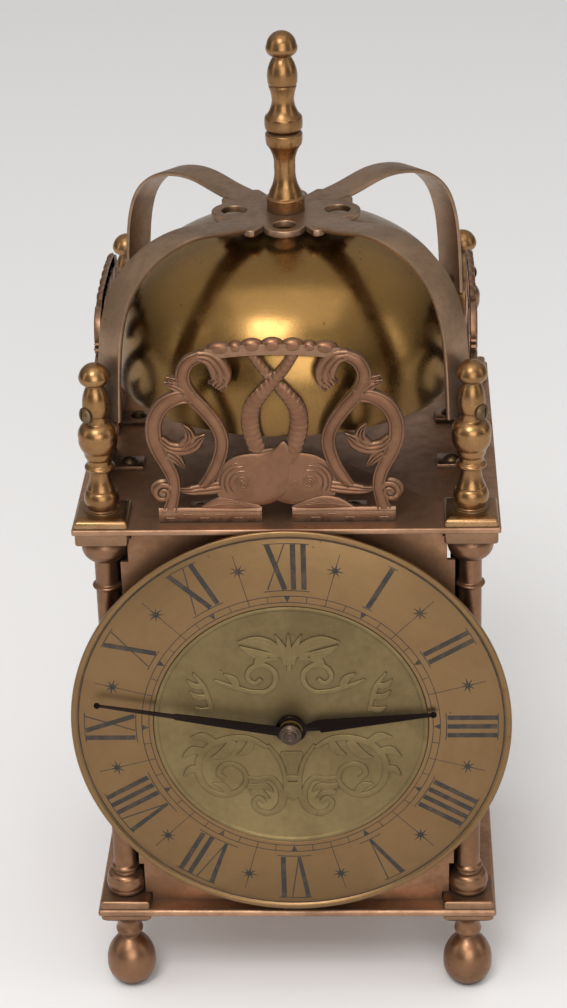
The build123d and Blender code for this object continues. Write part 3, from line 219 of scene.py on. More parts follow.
def eased(points, reach):
    """Rounds the sharp corners of a line of points."""
    out = [points[0]]
    for a, b, c in zip(points, points[1:], points[2:]):
        before, after = Vector((b[0] - a[0], b[1] - a[1])), Vector((c[0] - b[0], c[1] - b[1]))
        if before.length < 1e-6 or after.length < 1e-6:
            continue
        if before.angle(after) < radians(22):
            out.append(b)
            continue
        near, far = min(reach, before.length * 0.4), min(reach, after.length * 0.4)
        start = Vector(b) - before.normalized() * near
        end = Vector(b) + after.normalized() * far
        for t in (0, 0.33, 0.67, 1):
            spot = start * (1 - t) ** 2 + Vector(b) * 2 * t * (1 - t) + end * t ** 2
            out.append((spot.x, spot.y))
    return out + [points[-1]]


def lathe_line(profile):
    """Points (radius, height) of a turned profile; a third value bows the run up to its point."""
    points = [profile[0][:2]]
    for (r0, z0, *_), (r1, z1, *bow) in zip(profile, profile[1:]):
        if bow:
            arc = dome_bow(r0, z0, z1) if r1 == 0 else bow[0]
            points += arc_points(r0, z0, r1, z1, arc)
        else:
            points.append((r1, z1))
    return eased(points, sizes().corner_round / MM)


def turn(shape, profile, x, y, segments=48):
    """Turned body about the upright line through x, y."""
    rows = []
    for r, z in lathe_line(profile):
        ring = [2 * pi * i / segments for i in range(segments)]
        rows.append([(x + max(r, 0.01) * cos(a), y + max(r, 0.01) * sin(a), z) for a in ring])
    shape.rows(rows, round_about=True, start_cap=True, end_cap=True)


def squared(shape, steps, x, y, corner=0.7, ratio=1.0):
    """Square body: steps are (half width, height), with rounded corners all the way up."""
    rows = []
    for half, z in steps:
        row = []
        for quarter in range(4):
            for i in range(5):
                angle = quarter * pi / 2 + i * pi / 8
                sx = half * ratio - corner if quarter in (0, 3) else corner - half * ratio
                sy = half - corner if quarter in (0, 1) else corner - half
                row.append((x + sx + corner * cos(angle), y + sy + corner * sin(angle), z))
        rows.append(row)
    shape.rows(rows, round_about=True, start_cap=True, end_cap=True)


def smooth_run(points, step):
    """Even points along a smooth line through the given ones, whatever else each one carries."""
    points = [Vector(p) for p in points]
    ends = [points[0] * 2 - points[1]] + points + [points[-1] * 2 - points[-2]]
    out = []
    for a, b, c, d in zip(ends, ends[1:], ends[2:], ends[3:]):
        count = max(2, ceil((c - b).length / step))
        for i in range(count):
            t = i / count
            out.append(
                0.5 * (2 * b + (c - a) * t + (2 * a - 5 * b + 4 * c - d) * t ** 2 + (3 * b - a - 3 * c + d) * t ** 3)
            )
    return out + [points[-1]]


# cross-sections of cast ribbons: (place across from -1 to 1, height as a share)
SCROLL = ((-1, 0), (-1, 0.7), (-0.9, 0.9), (-0.72, 0.95), (-0.6, 0.82), (-0.3, 0.94), (0, 1.0), (0.3, 0.94),
          (0.6, 0.82), (0.72, 0.95), (0.9, 0.9), (1, 0.7), (1, 0))
ROUNDED = ((-1, 0), (-1, 0.6), (-0.86, 0.8), (-0.55, 0.93), (-0.2, 0.99), (0.2, 0.99), (0.55, 0.93), (0.86, 0.8),
           (1, 0.6), (1, 0))
LEAF = ((-1, 0), (-1, 0.6), (-0.8, 0.86), (-0.5, 0.9), (-0.32, 0.78), (-0.12, 0.98), (0.12, 0.98), (0.32, 0.78),
        (0.5, 0.9), (0.8, 0.86), (1, 0.6), (1, 0))
BAR = ((-1, 0), (-1, 0.86), (-0.9, 1.0), (0.9, 1.0), (1, 0.86), (1, 0))



def ribbon(shape, points, section, height, base=0.0, step=0.45, bump=None):
    """Cast ribbon along points (u, v, width), standing height above base."""
    run = smooth_run(points, step)
    rows = []
    length = 0.0
    for i, at in enumerate(run):
        ahead = run[min(i + 1, len(run) - 1)] - run[max(i - 1, 0)]
        along = Vector((ahead.x, ahead.y)).normalized()
        if i:
            length += (run[i] - run[i - 1]).to_2d().length
        row = []
        for t, h in section:
            lift = bump(length, t) if bump and h > 0 else 0.0
            swell = min(1.0, at.z / 1.6) ** 0.5
            spot = (at.x - along.y * t * at.z / 2, at.y + along.x * t * at.z / 2)
            row.append((*spot, base + h * height * (0.55 + 0.45 * swell) + lift))
        rows.append(row)
    shape.rows(rows, round_about=True, start_cap=True, end_cap=True)


def dome(shape, u, v, a, b, height, base=0.0, tilt=0.0, rings=6, segments=28, flat=0.0):
    """Low dome on an ellipse; flat is the share of its width that stays level."""
    rows = []
    for k in range(rings + 1):
        reach = sin(pi / 2 * (1 - k / rings)) if not flat else 1 - (1 - flat) * k / rings
        lift = sqrt(max(0.0, 1 - reach ** 2))
        row = []
        for i in range(segments):
            angle = 2 * pi * i / segments
            x, y = a * max(reach, 0.02) * cos(angle), b * max(reach, 0.02) * sin(angle)
            row.append((u + x * cos(tilt) - y * sin(tilt), v + x * sin(tilt) + y * cos(tilt), base + height * lift))
        rows.append(row)
    shape.rows(rows, round_about=True, start_cap=True, end_cap=True)


def button(shape, u, v, r, low, high, segments):
    """Round boss with a softened rim and a gently domed face."""
    rise = high - low
    rows = []
    for share, h in ((0.94, 0.0), (1.0, 0.12), (1.0, 0.5), (0.97, 0.68), (0.88, 0.84), (0.6, 0.96), (0.3, 1.0)):
        rows.append([(u + r * share * cos(a), v + r * share * sin(a), low + rise * h)
                     for a in (2 * pi * i / segments for i in range(segments))])
    shape.rows(rows, round_about=True, start_cap=True, end_cap=True)


def ring_ridge(shape, u, v, radius, width, height, base, a0=0.0, a1=360.0):
    """Raised line along a circle or an arc."""
    count = max(6, ceil(radius * radians(abs(a1 - a0)) / 0.35))
    rows = []
    for i in range(count + 1):
        angle = radians(a0 + (a1 - a0) * i / count)
        row = []
        for t, h in ((-1, 0), (-0.6, 0.7), (0, 1), (0.6, 0.7), (1, 0)):
            r = radius + t * width / 2
            row.append((u + r * cos(angle), v + r * sin(angle), base + h * height))
        rows.append(row)
    shape.rows(rows)


def spiral(u, v, r0, r1, start, turns, w0, w1):
    """Ribbon points of a scroll that winds in from r0 to r1."""
    count = max(5, ceil(abs(turns) * 9))
    points = []
    for i in range(count + 1):
        share = i / count
        angle = radians(start) + share * turns * 2 * pi
        r = r0 + (r1 - r0) * share
        points.append((u + r * cos(angle), v + r * sin(angle), w0 + (w1 - w0) * share))
    return points


# ---------------------------------------------------------------- shader groups
def add_group(name, inputs, outputs):
    """Empty shader group with named sockets: (kind, name, default)."""
    group = bpy.data.node_groups.new(name, "ShaderNodeTree")
    for kind, label, default in inputs:
        socket = group.interface.new_socket(name=label, in_out="INPUT", socket_type="NodeSocket" + kind)
        if default is not None:
            socket.default_value = default
    for kind, label in outputs:
        group.interface.new_socket(name=label, in_out="OUTPUT", socket_type="NodeSocket" + kind)
    return group, group.nodes.new("NodeGroupInput"), group.nodes.new("NodeGroupOutput")


def link(tree, source, target):
    tree.links.new(source, target)


def add_node(tree, kind, **values):
    """Node with its settings; a value named in_X sets the input socket X."""
    node = tree.nodes.new("ShaderNode" + kind)
    for key, value in values.items():
        if key.startswith("in_"):
            node.inputs[key[3:].replace("_", " ")].default_value = value
        else:
            setattr(node, key, value)
    return node


def math(tree, operation, a, b=None, c=None, clamp=False):
    node = add_node(tree, "Math", operation=operation, use_clamp=clamp)
    for i, value in enumerate((a, b, c)):
        if value is None:
            continue
        if hasattr(value, "is_output"):
            link(tree, value, node.inputs[i])
        else:
            node.inputs[i].default_value = value
    return node.outputs[0]


def mix(tree, factor, a, b, blend="MIX"):
    node = add_node(tree, "Mix", data_type="RGBA", blend_type=blend)
    for socket, value in ((node.inputs[0], factor), (node.inputs[6], a), (node.inputs[7], b)):
        if hasattr(value, "is_output"):
            link(tree, value, socket)
        else:
            socket.default_value = value if isinstance(value, float) else (*value, 1.0)
    return node.outputs[2]


def spread(tree, value, low, high, out_low=0.0, out_high=1.0):
    node = add_node(tree, "MapRange", interpolation_type="SMOOTHSTEP")
    link(tree, value, node.inputs["Value"])
    for label, number in (("From Min", low), ("From Max", high), ("To Min", out_low), ("To Max", out_high)):
        if hasattr(number, "is_output"):
            link(tree, number, node.inputs[label])
        else:
            node.inputs[label].default_value = number
    return node.outputs["Result"]


def noise(tree, vector, scale, detail=4.0, roughness=0.55, distortion=0.0):
    node = add_node(tree, "TexNoise", in_Detail=detail, in_Roughness=roughness, in_Distortion=distortion)
    link(tree, vector, node.inputs["Vector"])
    if hasattr(scale, "is_output"):
        link(tree, scale, node.inputs["Scale"])
    else:
        node.inputs["Scale"].default_value = scale
    return node.outputs["Fac"]


def aged_metal_group():
    """Patina clouds, stains, fine scratches and specks, hollows darkened by dirt and painted shade, and bright worn
    edges.
    """
    group, given, out = add_group(
        "Aged metal",
        [("Vector", "Vector", None), ("Color", "Bright", None), ("Color", "Dark", None), ("Float", "Cloud size", 1.0),
         ("Float", "Patina", 0.5), ("Float", "Dirt", 0.7), ("Float", "Wear", 0.5), ("Float", "Smooth", 0.3)],
        [("Color", "Color"), ("Float", "Roughness"), ("Float", "Height"), ("Float", "Metal")],
    )
    where = given.outputs["Vector"]
    scale = math(group, "DIVIDE", 70.0, given.outputs["Cloud size"])
    clouds = noise(group, where, scale, 5.0, 0.6, 0.6)
    fine = noise(group, where, math(group, "MULTIPLY", scale, 9.0), 4.0, 0.7)
    grain = noise(group, where, 2600.0, 2.0, 0.5)
    specks = add_node(group, "TexVoronoi", in_Scale=330.0)
    link(group, where, specks.inputs["Vector"])
    speck = spread(group, specks.outputs["Distance"], 0.05, 0.13, 1.0, 0.0)
    rare = spread(group, noise(group, where, 120.0, 2.0), 0.56, 0.66)
    speck = math(group, "MULTIPLY", speck, rare)
    cloud = spread(group, math(group, "ADD", math(group, "MULTIPLY", clouds, 0.75), math(group, "MULTIPLY", fine, 0.25)),
                   0.36, 0.66)
    dark_share = math(group, "MULTIPLY", cloud, given.outputs["Patina"], clamp=True)
    # Ambient occlusion finds the hollows, which darken towards soot: dirt and painted shade together.
    hollow = add_node(group, "AmbientOcclusion", samples=6, only_local=False, in_Distance=0.0035)
    dirt_and_shade = spread(group, hollow.outputs["AO"], 0.35, 0.92, 1.0, 0.0)
    dirt_and_shade = math(group, "MULTIPLY", dirt_and_shade, given.outputs["Dirt"], clamp=True)
    bent = add_node(group, "NewGeometry").outputs["Pointiness"]
    worn = spread(group, bent, 0.515, 0.58)
    worn = math(group, "MULTIPLY", worn, math(group, "MULTIPLY", given.outputs["Wear"], spread(group, fine, 0.3, 0.6)))
    tone = mix(group, dark_share, given.outputs["Bright"], given.outputs["Dark"])
    # Near-black tone for the real specks, and for the hollows, where it is dirt and painted shade.
    soot_and_shade = mix(group, 0.72, given.outputs["Dark"], (0.008, 0.006, 0.004))
    tone = mix(group, dirt_and_shade, tone, soot_and_shade)
    tone = mix(group, math(group, "MULTIPLY", speck, 0.55), tone, soot_and_shade)
    tone = mix(group, worn, tone, mix(group, 0.35, given.outputs["Bright"], (1.0, 0.86, 0.6)))
    link(group, tone, out.inputs["Color"])
    rough = math(group, "ADD", given.outputs["Smooth"], math(group, "MULTIPLY", dark_share, 0.12))
    rough = math(group, "ADD", rough, math(group, "MULTIPLY", dirt_and_shade, 0.3))
    rough = math(group, "ADD", rough, math(group, "MULTIPLY", spread(group, fine, 0.3, 0.7), 0.08))
    rough = math(group, "SUBTRACT", rough, math(group, "MULTIPLY", worn, 0.08), clamp=True)
    link(group, rough, out.inputs["Roughness"])
    height = math(group, "ADD", math(group, "MULTIPLY", fine, 0.6), math(group, "MULTIPLY", grain, 0.25))
    height = math(group, "SUBTRACT", height, math(group, "MULTIPLY", speck, 0.6))
    link(group, height, out.inputs["Height"])
    link(group, math(group, "SUBTRACT", 1.0, math(group, "MULTIPLY", dirt_and_shade, 0.55)), out.inputs["Metal"])
    return group


def turned_lines_group():
    """Fine rings left by a tool that turned about an axis: a height from the distance to that axis."""
    group, given, out = add_group(
        "Tool rings",
        [("Vector", "Vector", None), ("Vector", "Centre", (0.0, 0.0, 0.0)), ("Vector", "Across", (1.0, 0.0, 1.0)),
         ("Float", "Density", 5200.0)],
        [("Float", "Height"), ("Float", "Tone")],
    )
    away = add_node(group, "VectorMath", operation="SUBTRACT")
    link(group, given.outputs["Vector"], away.inputs[0])
    link(group, given.outputs["Centre"], away.inputs[1])
    flat = add_node(group, "VectorMath", operation="MULTIPLY")
    link(group, away.outputs[0], flat.inputs[0])
    link(group, given.outputs["Across"], flat.inputs[1])
    reach = add_node(group, "VectorMath", operation="LENGTH")
    link(group, flat.outputs[0], reach.inputs[0])
    lines = add_node(group, "TexNoise", noise_dimensions="1D", in_Scale=1.0, in_Detail=3.0, in_Roughness=0.8)
    link(group, math(group, "MULTIPLY", reach.outputs["Value"], given.outputs["Density"]), lines.inputs["W"])
    link(group, lines.outputs["Fac"], out.inputs["Height"])
    link(group, spread(group, lines.outputs["Fac"], 0.3, 0.7), out.inputs["Tone"])
    return group


def group_node(tree, group, **values):
    node = tree.nodes.new("ShaderNodeGroup")
    node.node_tree = group
    for label, value in values.items():
        socket = node.inputs[label.replace("_", " ")]
        if hasattr(value, "is_output"):
            link(tree, value, socket)
        elif socket.type == "RGBA":
            socket.default_value = (*value, 1.0)
        else:
            socket.default_value = value
    return node


def new_material(name, metallic=1.0):
    material = bpy.data.materials.new(name)
    material.use_nodes = True
    shader = material.node_tree.nodes["Principled BSDF"]
    shader.inputs["Metallic"].default_value = metallic
    place = material.node_tree.nodes.new("ShaderNodeTexCoord").outputs["Object"]
    return material, material.node_tree, shader, place


def add_bump(tree, shader, height, strength, distance):
    bump = add_node(tree, "Bump", in_Strength=strength, in_Distance=distance)
    link(tree, height, bump.inputs["Height"])
    link(tree, bump.outputs["Normal"], shader.inputs["Normal"])


# dirt_and_shade sets how far the hollows darken: dirt and painted shade.
def aged_metal(name, bright, dark, smooth, patina=0.5, dirt_and_shade=0.7, wear=0.5, cloud=1.0, bump=0.3, coat=0.0):
    """Old brass or steel."""
    material, tree, shader, place = new_material(name)
    aged = group_node(
        tree, bpy.data.node_groups["Aged metal"], Vector=place, Bright=bright, Dark=dark, Cloud_size=cloud,
        Patina=patina, Dirt=dirt_and_shade, Wear=wear, Smooth=smooth,
    )
    link(tree, aged.outputs["Color"], shader.inputs["Base Color"])
    link(tree, aged.outputs["Roughness"], shader.inputs["Roughness"])
    link(tree, aged.outputs["Metal"], shader.inputs["Metallic"])
    if coat:
        shader.inputs["Coat Weight"].default_value = coat
        shader.inputs["Coat Roughness"].default_value = 0.12
    add_bump(tree, shader, aged.outputs["Height"], bump, 0.00006)
    return material


# dirt_and_shade sets how far the hollows darken: dirt and painted shade.
def ringed_metal(name, bright, dark, smooth, centre, across, patina, density, lines, dirt_and_shade=0.5):
    """Old brass with the fine rings of a lathe or a brush turned about a centre."""
    material, tree, shader, place = new_material(name)
    aged = group_node(
        tree, bpy.data.node_groups["Aged metal"], Vector=place, Bright=bright, Dark=dark, Cloud_size=1.6,
        Patina=patina, Dirt=dirt_and_shade, Wear=0.0, Smooth=smooth,
    )
    rings = group_node(
        tree, bpy.data.node_groups["Tool rings"], Vector=place, Centre=centre, Across=across, Density=density
    )
    tone = mix(tree, math(tree, "MULTIPLY", rings.outputs["Tone"], lines), aged.outputs["Color"], tuple(dark))
    link(tree, tone, shader.inputs["Base Color"])
    link(tree, aged.outputs["Roughness"], shader.inputs["Roughness"])
    link(tree, aged.outputs["Metal"], shader.inputs["Metallic"])
    height = math(tree, "ADD", aged.outputs["Height"], math(tree, "MULTIPLY", rings.outputs["Height"], 2.5))
    add_bump(tree, shader, height, 0.35, 0.00005)
    return material


def dial_ink(name):
    """Black wax, worn thin here and there."""
    material, tree, shader, place = new_material(name, 0.0)
    thin = spread(tree, noise(tree, place, 420.0, 4.0, 0.65), 0.44, 0.68)
    ink = colours().ink
    faded = mix(tree, 0.5, tuple(colours().chapter_dark), tuple(ink))
    link(tree, mix(tree, math(tree, "MULTIPLY", thin, 0.55), tuple(ink), faded), shader.inputs["Base Color"])
    link(tree, spread(tree, thin, 0.0, 1.0, 0.4, 0.6), shader.inputs["Roughness"])
    return material


def material_of(name, maker, *values, **named):
    """The material of that name, made once."""
    found = bpy.data.materials.get(name)
    return found or maker(name, *values, **named)


# In these calls the third number after the two shades is dirt_and_shade: how far the hollows darken, dirt and painted
# shade.
def turned_brass():
    c = colours()
    return material_of("turned brass", aged_metal, c.turned, c.turned_dark, 0.24, 0.4, 0.85, 0.25, 0.8)


def column_brass():
    c = colours()
    return material_of("column brass", aged_metal, c.column, c.column_dark, 0.3, 0.4, 0.85, 0.15, 0.8)


def strap_brass():
    c = colours()
    return material_of("strap brass", aged_metal, c.strap, c.strap_dark, 0.34, 0.5, 0.6, 0.0, 1.0, 0.3)


def case_brass():
    c = colours()
    return material_of("case brass", aged_metal, c.case, c.case_dark, 0.38, 0.7, 0.6, 0.0, 1.6, 0.3)


def fret_brass():
    c = colours()
    return material_of("fret brass", aged_metal, c.fret, c.fret_dark, 0.34, 0.35, 0.9, 0.2, 0.9, 0.3)


# ---------------------------------------------------------------- turned pieces
# profiles as (radius, height above the ground, bow)
COLUMN = ((0, 26.4), (3.4, 26.4), (3.4, 26.9), (4.5, 28.6, 0.45), (4.45, 31.2, 0.28), (3.0, 32.7, 0.45), (2.85, 33.4),
          (3.2, 33.7, 0.1), (3.2, 34.4, 0.15), (2.75, 34.8), (2.6, 110.2), (3.2, 110.5, 0.1), (3.2, 111.2, 0.15),
          (2.6, 111.5), (2.6, 117.6), (5.25, 120.9, 0.7), (5.25, 122.4, 0.1), (4.7, 123.5), (4.7, 124.0), (0, 124.0))
FOOT = ((0, 0.0), (2.6, 0.0), (5.9, 6.3, 1.1), (2.25, 13.4, 1.05), (2.25, 14.3), (3.15, 14.8, 0.15),
        (3.2, 15.9, 0.1), (2.9, 16.6), (5.0, 20.7, -0.7), (5.0, 21.2), (0, 21.2))
FINIAL = ((0, 129.4), (3.9, 129.4), (3.9, 130.3), (3.2, 130.7, -0.1), (3.95, 132.6, 0.15), (3.4, 134.9, 0.2),
          (3.15, 135.1), (3.3, 135.4), (2.3, 139.6, -0.25), (2.3, 139.9), (3.2, 140.3, 0.1), (3.2, 141.1, 0.2),
          (2.7, 141.5), (2.7, 142.6), (3.3, 143.9, 0.1), (3.4, 144.6), (4.35, 147.8, 0.35), (2.5, 151.6, 0.75),
          (2.45, 152.4), (2.7, 153.6, -0.1), (3.0, 156.3, 0.15), (1.9, 160.2, 0.25), (1.9, 160.6),
          (3.3, 163.1, 0.75), (0, 165.6, 1.0))
CENTRE_BASE = ((0, 186.1), (4.3, 186.1), (4.35, 189.0), (4.45, 189.2, 0.05), (4.1, 189.5), (3.85, 189.6), (3.6, 190.7),
               (2.45, 196.4, -0.45), (4.0, 201.8, -0.55), (4.2, 204.3, 0.1), (3.4, 204.9), (0, 204.9))
CENTRE_TOP = ((0, 204.95), (3.4, 204.95), (4.2, 205.5), (4.2, 208.2, 0.12), (3.6, 208.8), (2.5, 212.2, -0.25),
              (3.2, 215.3, -0.1), (3.05, 215.6), (3.35, 216.4, 0.1), (2.1, 221.8, 0.5), (2.1, 222.2),
              (3.35, 224.8, 0.75), (0, 227.8, 1.2))
BLOCK_HALF = 6.0


class CLOCK_OT_columns(bpy.types.Operator):
    """Turns the four columns, each from one square bar, with its square ends"""

    bl_idname = "clock.columns"
    bl_label = "Columns"

    def execute(self, context):
        for corner in CORNERS:
            node = "column_" + corner
            at = middle(node)
            low, high = (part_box(node)[i].z / MM for i in (0, 1))
            shape = Shape()
            turn(shape, COLUMN, at.x, at.y)
            squared(shape, ((5.85, low), (BLOCK_HALF, low + 0.15), (BLOCK_HALF, low + 1.7), (5.8, low + 2.0),
                            (5.5, low + 2.1)), at.x, at.y)
            squared(shape, ((5.5, high - 2.9), (5.85, high - 2.8), (BLOCK_HALF, high - 2.5), (BLOCK_HALF, high - 0.15),
                            (5.85, high)), at.x, at.y)
            shape.piece("turned_" + node, column_brass(), "column_brass", replaces=[node])
        return {"FINISHED"}


class CLOCK_OT_feet(bpy.types.Operator):
    """Turns the four feet with their square caps"""

    bl_idname = "clock.feet"
    bl_label = "Feet"

    def execute(self, context):
        cap_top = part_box("base_plate")[0].z / MM
        for corner in CORNERS:
            node = "foot_" + corner
            at = middle(node)
            shape = Shape()
            turn(shape, FOOT, at.x, at.y)
            squared(shape, ((4.9, cap_top - 2.2), (5.2, cap_top - 2.0), (5.9, cap_top - 1.25), (BLOCK_HALF, cap_top - 1.0),
                            (BLOCK_HALF, cap_top - 0.15), (5.85, cap_top)), at.x, at.y)
            shape.piece("turned_" + node, column_brass(), "column_brass", replaces=[node])
        return {"FINISHED"}


class CLOCK_OT_finials(bpy.types.Operator):
    """Turns the corner finials on their cushioned pads, and the centre finial in two pieces"""

    bl_idname = "clock.finials"
    bl_label = "Finials"

    def execute(self, context):
        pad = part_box("top_plate")[1].z / MM
        for corner in CORNERS:
            node = "finial_" + corner
            at = middle(node)
            shape = Shape()
            turn(shape, FINIAL, at.x, at.y)
            squared(shape, ((5.85, pad), (BLOCK_HALF, pad + 0.15), (BLOCK_HALF, pad + 1.2), (5.85, pad + 1.55),
                            (5.5, pad + 1.8), (4.9, pad + 2.0), (4.0, pad + 2.1)), at.x, at.y, 0.6)
            shape.piece("turned_" + node, turned_brass(), "finial_brass", replaces=[node])
        at = middle("centre_finial_base")
        for node, profile in (("centre_finial_base", CENTRE_BASE), ("centre_finial_top", CENTRE_TOP)):
            shape = Shape()
            turn(shape, profile, at.x, at.y, 64)
            shape.piece("turned_" + node, turned_brass(), "finial_brass", replaces=[node])
        return {"FINISHED"}


# ---------------------------------------------------------------- plates and case
class CLOCK_OT_case(bpy.types.Operator):
    """Base and top plates with eased edges, and the finish of panels, door and their fittings"""

    bl_idname = "clock.case"
    bl_label = "Plates and case"

    def execute(self, context):
        for node in ("base_plate", "top_plate"):
            low, high = (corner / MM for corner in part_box(node))
            at = (low + high) / 2
            half, deep = (high.x - low.x) / 2, (high.y - low.y) / 2
            ease = 0.75 if node == "base_plate" else 0.35
            steps = [(deep - ease, low.z)]
            for i in range(5):
                angle = pi / 2 * i / 4
                steps.append((deep - ease + ease * sin(angle), low.z + ease - ease * cos(angle)))
            for i in range(5):
                angle = pi / 2 * i / 4
                steps.append((deep - ease + ease * cos(angle), high.z - ease + ease * sin(angle)))
            shape = Shape()
            rows_ratio = half / deep
            squared(shape, steps, at.x, at.y, 0.5, rows_ratio)
            shape.piece("eased_" + node, plate_brass(), "plate_brass",
                        replaces=[node])
        for node in ("front_panel", "left_panel", "right_panel", "back_panel", "back_door", "hinge_pins", "dial_plate"):
            dress(node, case_brass())
        dress("door_knob", turned_brass())
        return {"FINISHED"}


def plate_brass():
    c = colours()
    return material_of("plate brass", aged_metal, c.plate, c.case_dark, 0.4, 0.6, 0.6, 0.0, 1.8, 0.35)


def dress(node, material):
    """Gives a node that is shown as it is its material."""
    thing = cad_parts[node]
    thing.data.materials.clear()
    thing.data.materials.append(material)


# ---------------------------------------------------------------- bell and its frame
BELL_WALL = 1.5
BELL_FULLNESS = 2.6
STRAP_RUN = ((8.0, 185.3), (18.0, 186.2), (28.5, 187.8), (37.0, 186.8), (43.6, 183.8), (48.4, 179.2), (51.2, 172.8),
             (52.6, 164.3), (53.4, 151.3))
STRAP_HALF = 3.6
STRAP_EDGE = ((-1, -0.3), (-0.97, -0.5), (-0.9, -0.55), (0.9, -0.55), (0.97, -0.5), (1, -0.3), (1, 0.3), (0.97, 0.5),
              (0.9, 0.55), (-0.9, 0.55), (-0.97, 0.5), (-1, 0.3))


class CLOCK_OT_bell(bpy.types.Operator):
    """Spun bell with an eased rim"""

    bl_idname = "clock.bell"
    bl_label = "Bell"

    def execute(self, context):
        low, high = (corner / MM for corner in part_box("bell"))
        centre, radius, rise = (low + high) / 2, (high.x - low.x) / 2, high.z - low.z
        segments = 160
        outer = bell_line(radius, rise, low.z, 72)
        inner = bell_line(radius - BELL_WALL, rise - BELL_WALL, low.z, 40)[::-1]
        line = [(radius - 0.5, low.z), (radius - 0.12, low.z + 0.12)] + outer[1:] + inner + [(radius - 0.9, low.z)]
        rows = []
        for r, z in line + [line[0]]:
            reach = max(r, 0.01)
            rows.append([(centre.x + reach * cos(a), centre.y + reach * sin(a), z)
                         for a in (2 * pi * i / segments for i in range(segments))])
        shape = Shape()
        shape.rows(rows, round_about=True)
        shape.piece("spun_bell", bell_brass(centre, low.z, rise), "bell_brass", replaces=["bell"])
        return {"FINISHED"}


def bell_line(radius, rise, rim, count):
    """Full-shouldered line from the rim to the bell's crown, its points spaced evenly to the eye."""
    points = []
    for i in range(count + 1):
        t = pi / 2 * i / count
        x, z = cos(t), sin(t)
        norm = (x ** BELL_FULLNESS + z ** BELL_FULLNESS) ** (1 / BELL_FULLNESS)
        points.append((radius * x / norm, rim + rise * z / norm))
    return points


def bell_brass(centre, rim, rise):
    """Golden brass that darkens in clouds towards the rim."""
    c = colours()
    material, tree, shader, place = new_material("bell brass")
    split = add_node(tree, "SeparateXYZ")
    link(tree, place, split.inputs[0])
    up = math(tree, "DIVIDE", math(tree, "SUBTRACT", split.outputs["Z"], rim * MM), rise * MM)
    cloud = noise(tree, place, 38.0, 5.0, 0.6, 0.8)
    low = spread(tree, math(tree, "ADD", up, math(tree, "MULTIPLY", cloud, 0.5)), 0.2, 0.7, 0.55, 0.0)
    # The bell's hollows darken a little: dirt and painted shade.
    aged = group_node(
        tree, bpy.data.node_groups["Aged metal"], Vector=place, Bright=c.bell, Dark=c.bell_dark, Cloud_size=3.2,
        Patina=0.2, Dirt=0.3, Wear=0.0, Smooth=0.2,
    )
    rings = group_node(
        tree, bpy.data.node_groups["Tool rings"], Vector=place, Centre=(centre.x * MM, centre.y * MM, 0.0),
        Across=(1.0, 1.0, 0.0), Density=2600.0,
    )
    tone = mix(tree, low, aged.outputs["Color"], tuple(c.bell_dark))
    link(tree, tone, shader.inputs["Base Color"])
    rough = math(tree, "ADD", aged.outputs["Roughness"], math(tree, "MULTIPLY", low, 0.12))
    link(tree, rough, shader.inputs["Roughness"])
    link(tree, aged.outputs["Metal"], shader.inputs["Metallic"])
    height = math(tree, "ADD", aged.outputs["Height"], math(tree, "MULTIPLY", rings.outputs["Height"], 0.7))
    add_bump(tree, shader, height, 0.2, 0.00005)
    return material


# lobes of the crown plate: (x, y, radius) about its middle
CROWN_LOBES = (
    (0, 0, 9.6), (-11.8, 0, 5.2), (11.8, 0, 5.2), (0, -9.8, 4.7), (0, 9.8, 4.7),
    *((x, y, 1.7) for x in (-7.4, 7.4) for y in (-12.0, 12.0)), *((x, y, 1.7) for x in (-13.4, 13.4) for y in (-7.4, 7.4)),
)
# its round holes: (x, y, radius)
CROWN_HOLES = ((-11.8, 0, 2.9), (11.8, 0, 2.9), (0, -9.8, 2.6), (0, 9.8, 2.6))


def lobed_outline(lobes, count=220):
    """Outline round overlapping discs, seen from their common middle."""
    points = []
    for i in range(count):
        angle = 2 * pi * i / count
        ray = Vector((cos(angle), sin(angle)))
        reach = 0.0
        for x, y, radius in lobes:
            along = ray.x * x + ray.y * y
            aside = x * x + y * y - along * along
            if aside < radius * radius:
                reach = max(reach, along + sqrt(radius * radius - aside))
        points.append((ray.x * reach, ray.y * reach))
    return points


def cut_sheet(name, outlines, thickness, edge):
    """Flat sheet with holes, its edges eased: a mesh about z = 0."""
    curve = bpy.data.curves.new(name, "CURVE")
    curve.dimensions = "2D"
    curve.fill_mode = "BOTH"
    curve.extrude = (thickness / 2 - edge) * MM
    curve.bevel_depth = edge * MM
    curve.bevel_resolution = 2
    curve.offset = -edge * MM
    for outline in outlines:
        spline = curve.splines.new("POLY")
        spline.points.add(len(outline) - 1)
        for point, (x, y) in zip(spline.points, outline):
            point.co = (x * MM, y * MM, 0, 1)
        spline.use_cyclic_u = True
    holder = bpy.data.objects.new(name + "_curve", curve)
    mesh = bpy.data.meshes.new_from_object(holder)
    bpy.data.objects.remove(holder)
    bpy.data.curves.remove(curve)
    return mesh


class CLOCK_OT_bell_frame(bpy.types.Operator):
    """Crown plate with its holed lobes, and the four straps that arch down to the finials"""

    bl_idname = "clock.bell_frame"
    bl_label = "Bell frame"

    def execute(self, context):
        finial = middle("finial_back_right")
        centre = middle("bell_frame")
        reach = Vector((finial.x - centre.x, finial.y - centre.y))
        shape = Shape()
        for side_x in (-1, 1):
            for side_y in (-1, 1):
                out = Vector((side_x * reach.x, side_y * reach.y)).normalized()
                strap_arm(shape, centre, out)
        shape.piece("straps", strap_brass(), "strap_brass", replaces=["bell_frame"])
        outlines = [lobed_outline(CROWN_LOBES)]
        for x, y, radius in CROWN_HOLES:
            outlines.append([(x + radius * cos(a), y + radius * sin(a)) for a in (2 * pi * i / 40 for i in range(40))])
        mesh = cut_sheet("crown", outlines, 1.6, 0.28)
        crown_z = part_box("centre_finial_base")[0].z - 0.8 * MM
        mesh.transform(Matrix.Translation((centre.x * MM, centre.y * MM, crown_z)))
        finished(mesh, "crown_plate", strap_brass(), "frame", ["bell_frame"], 38)
        return {"FINISHED"}


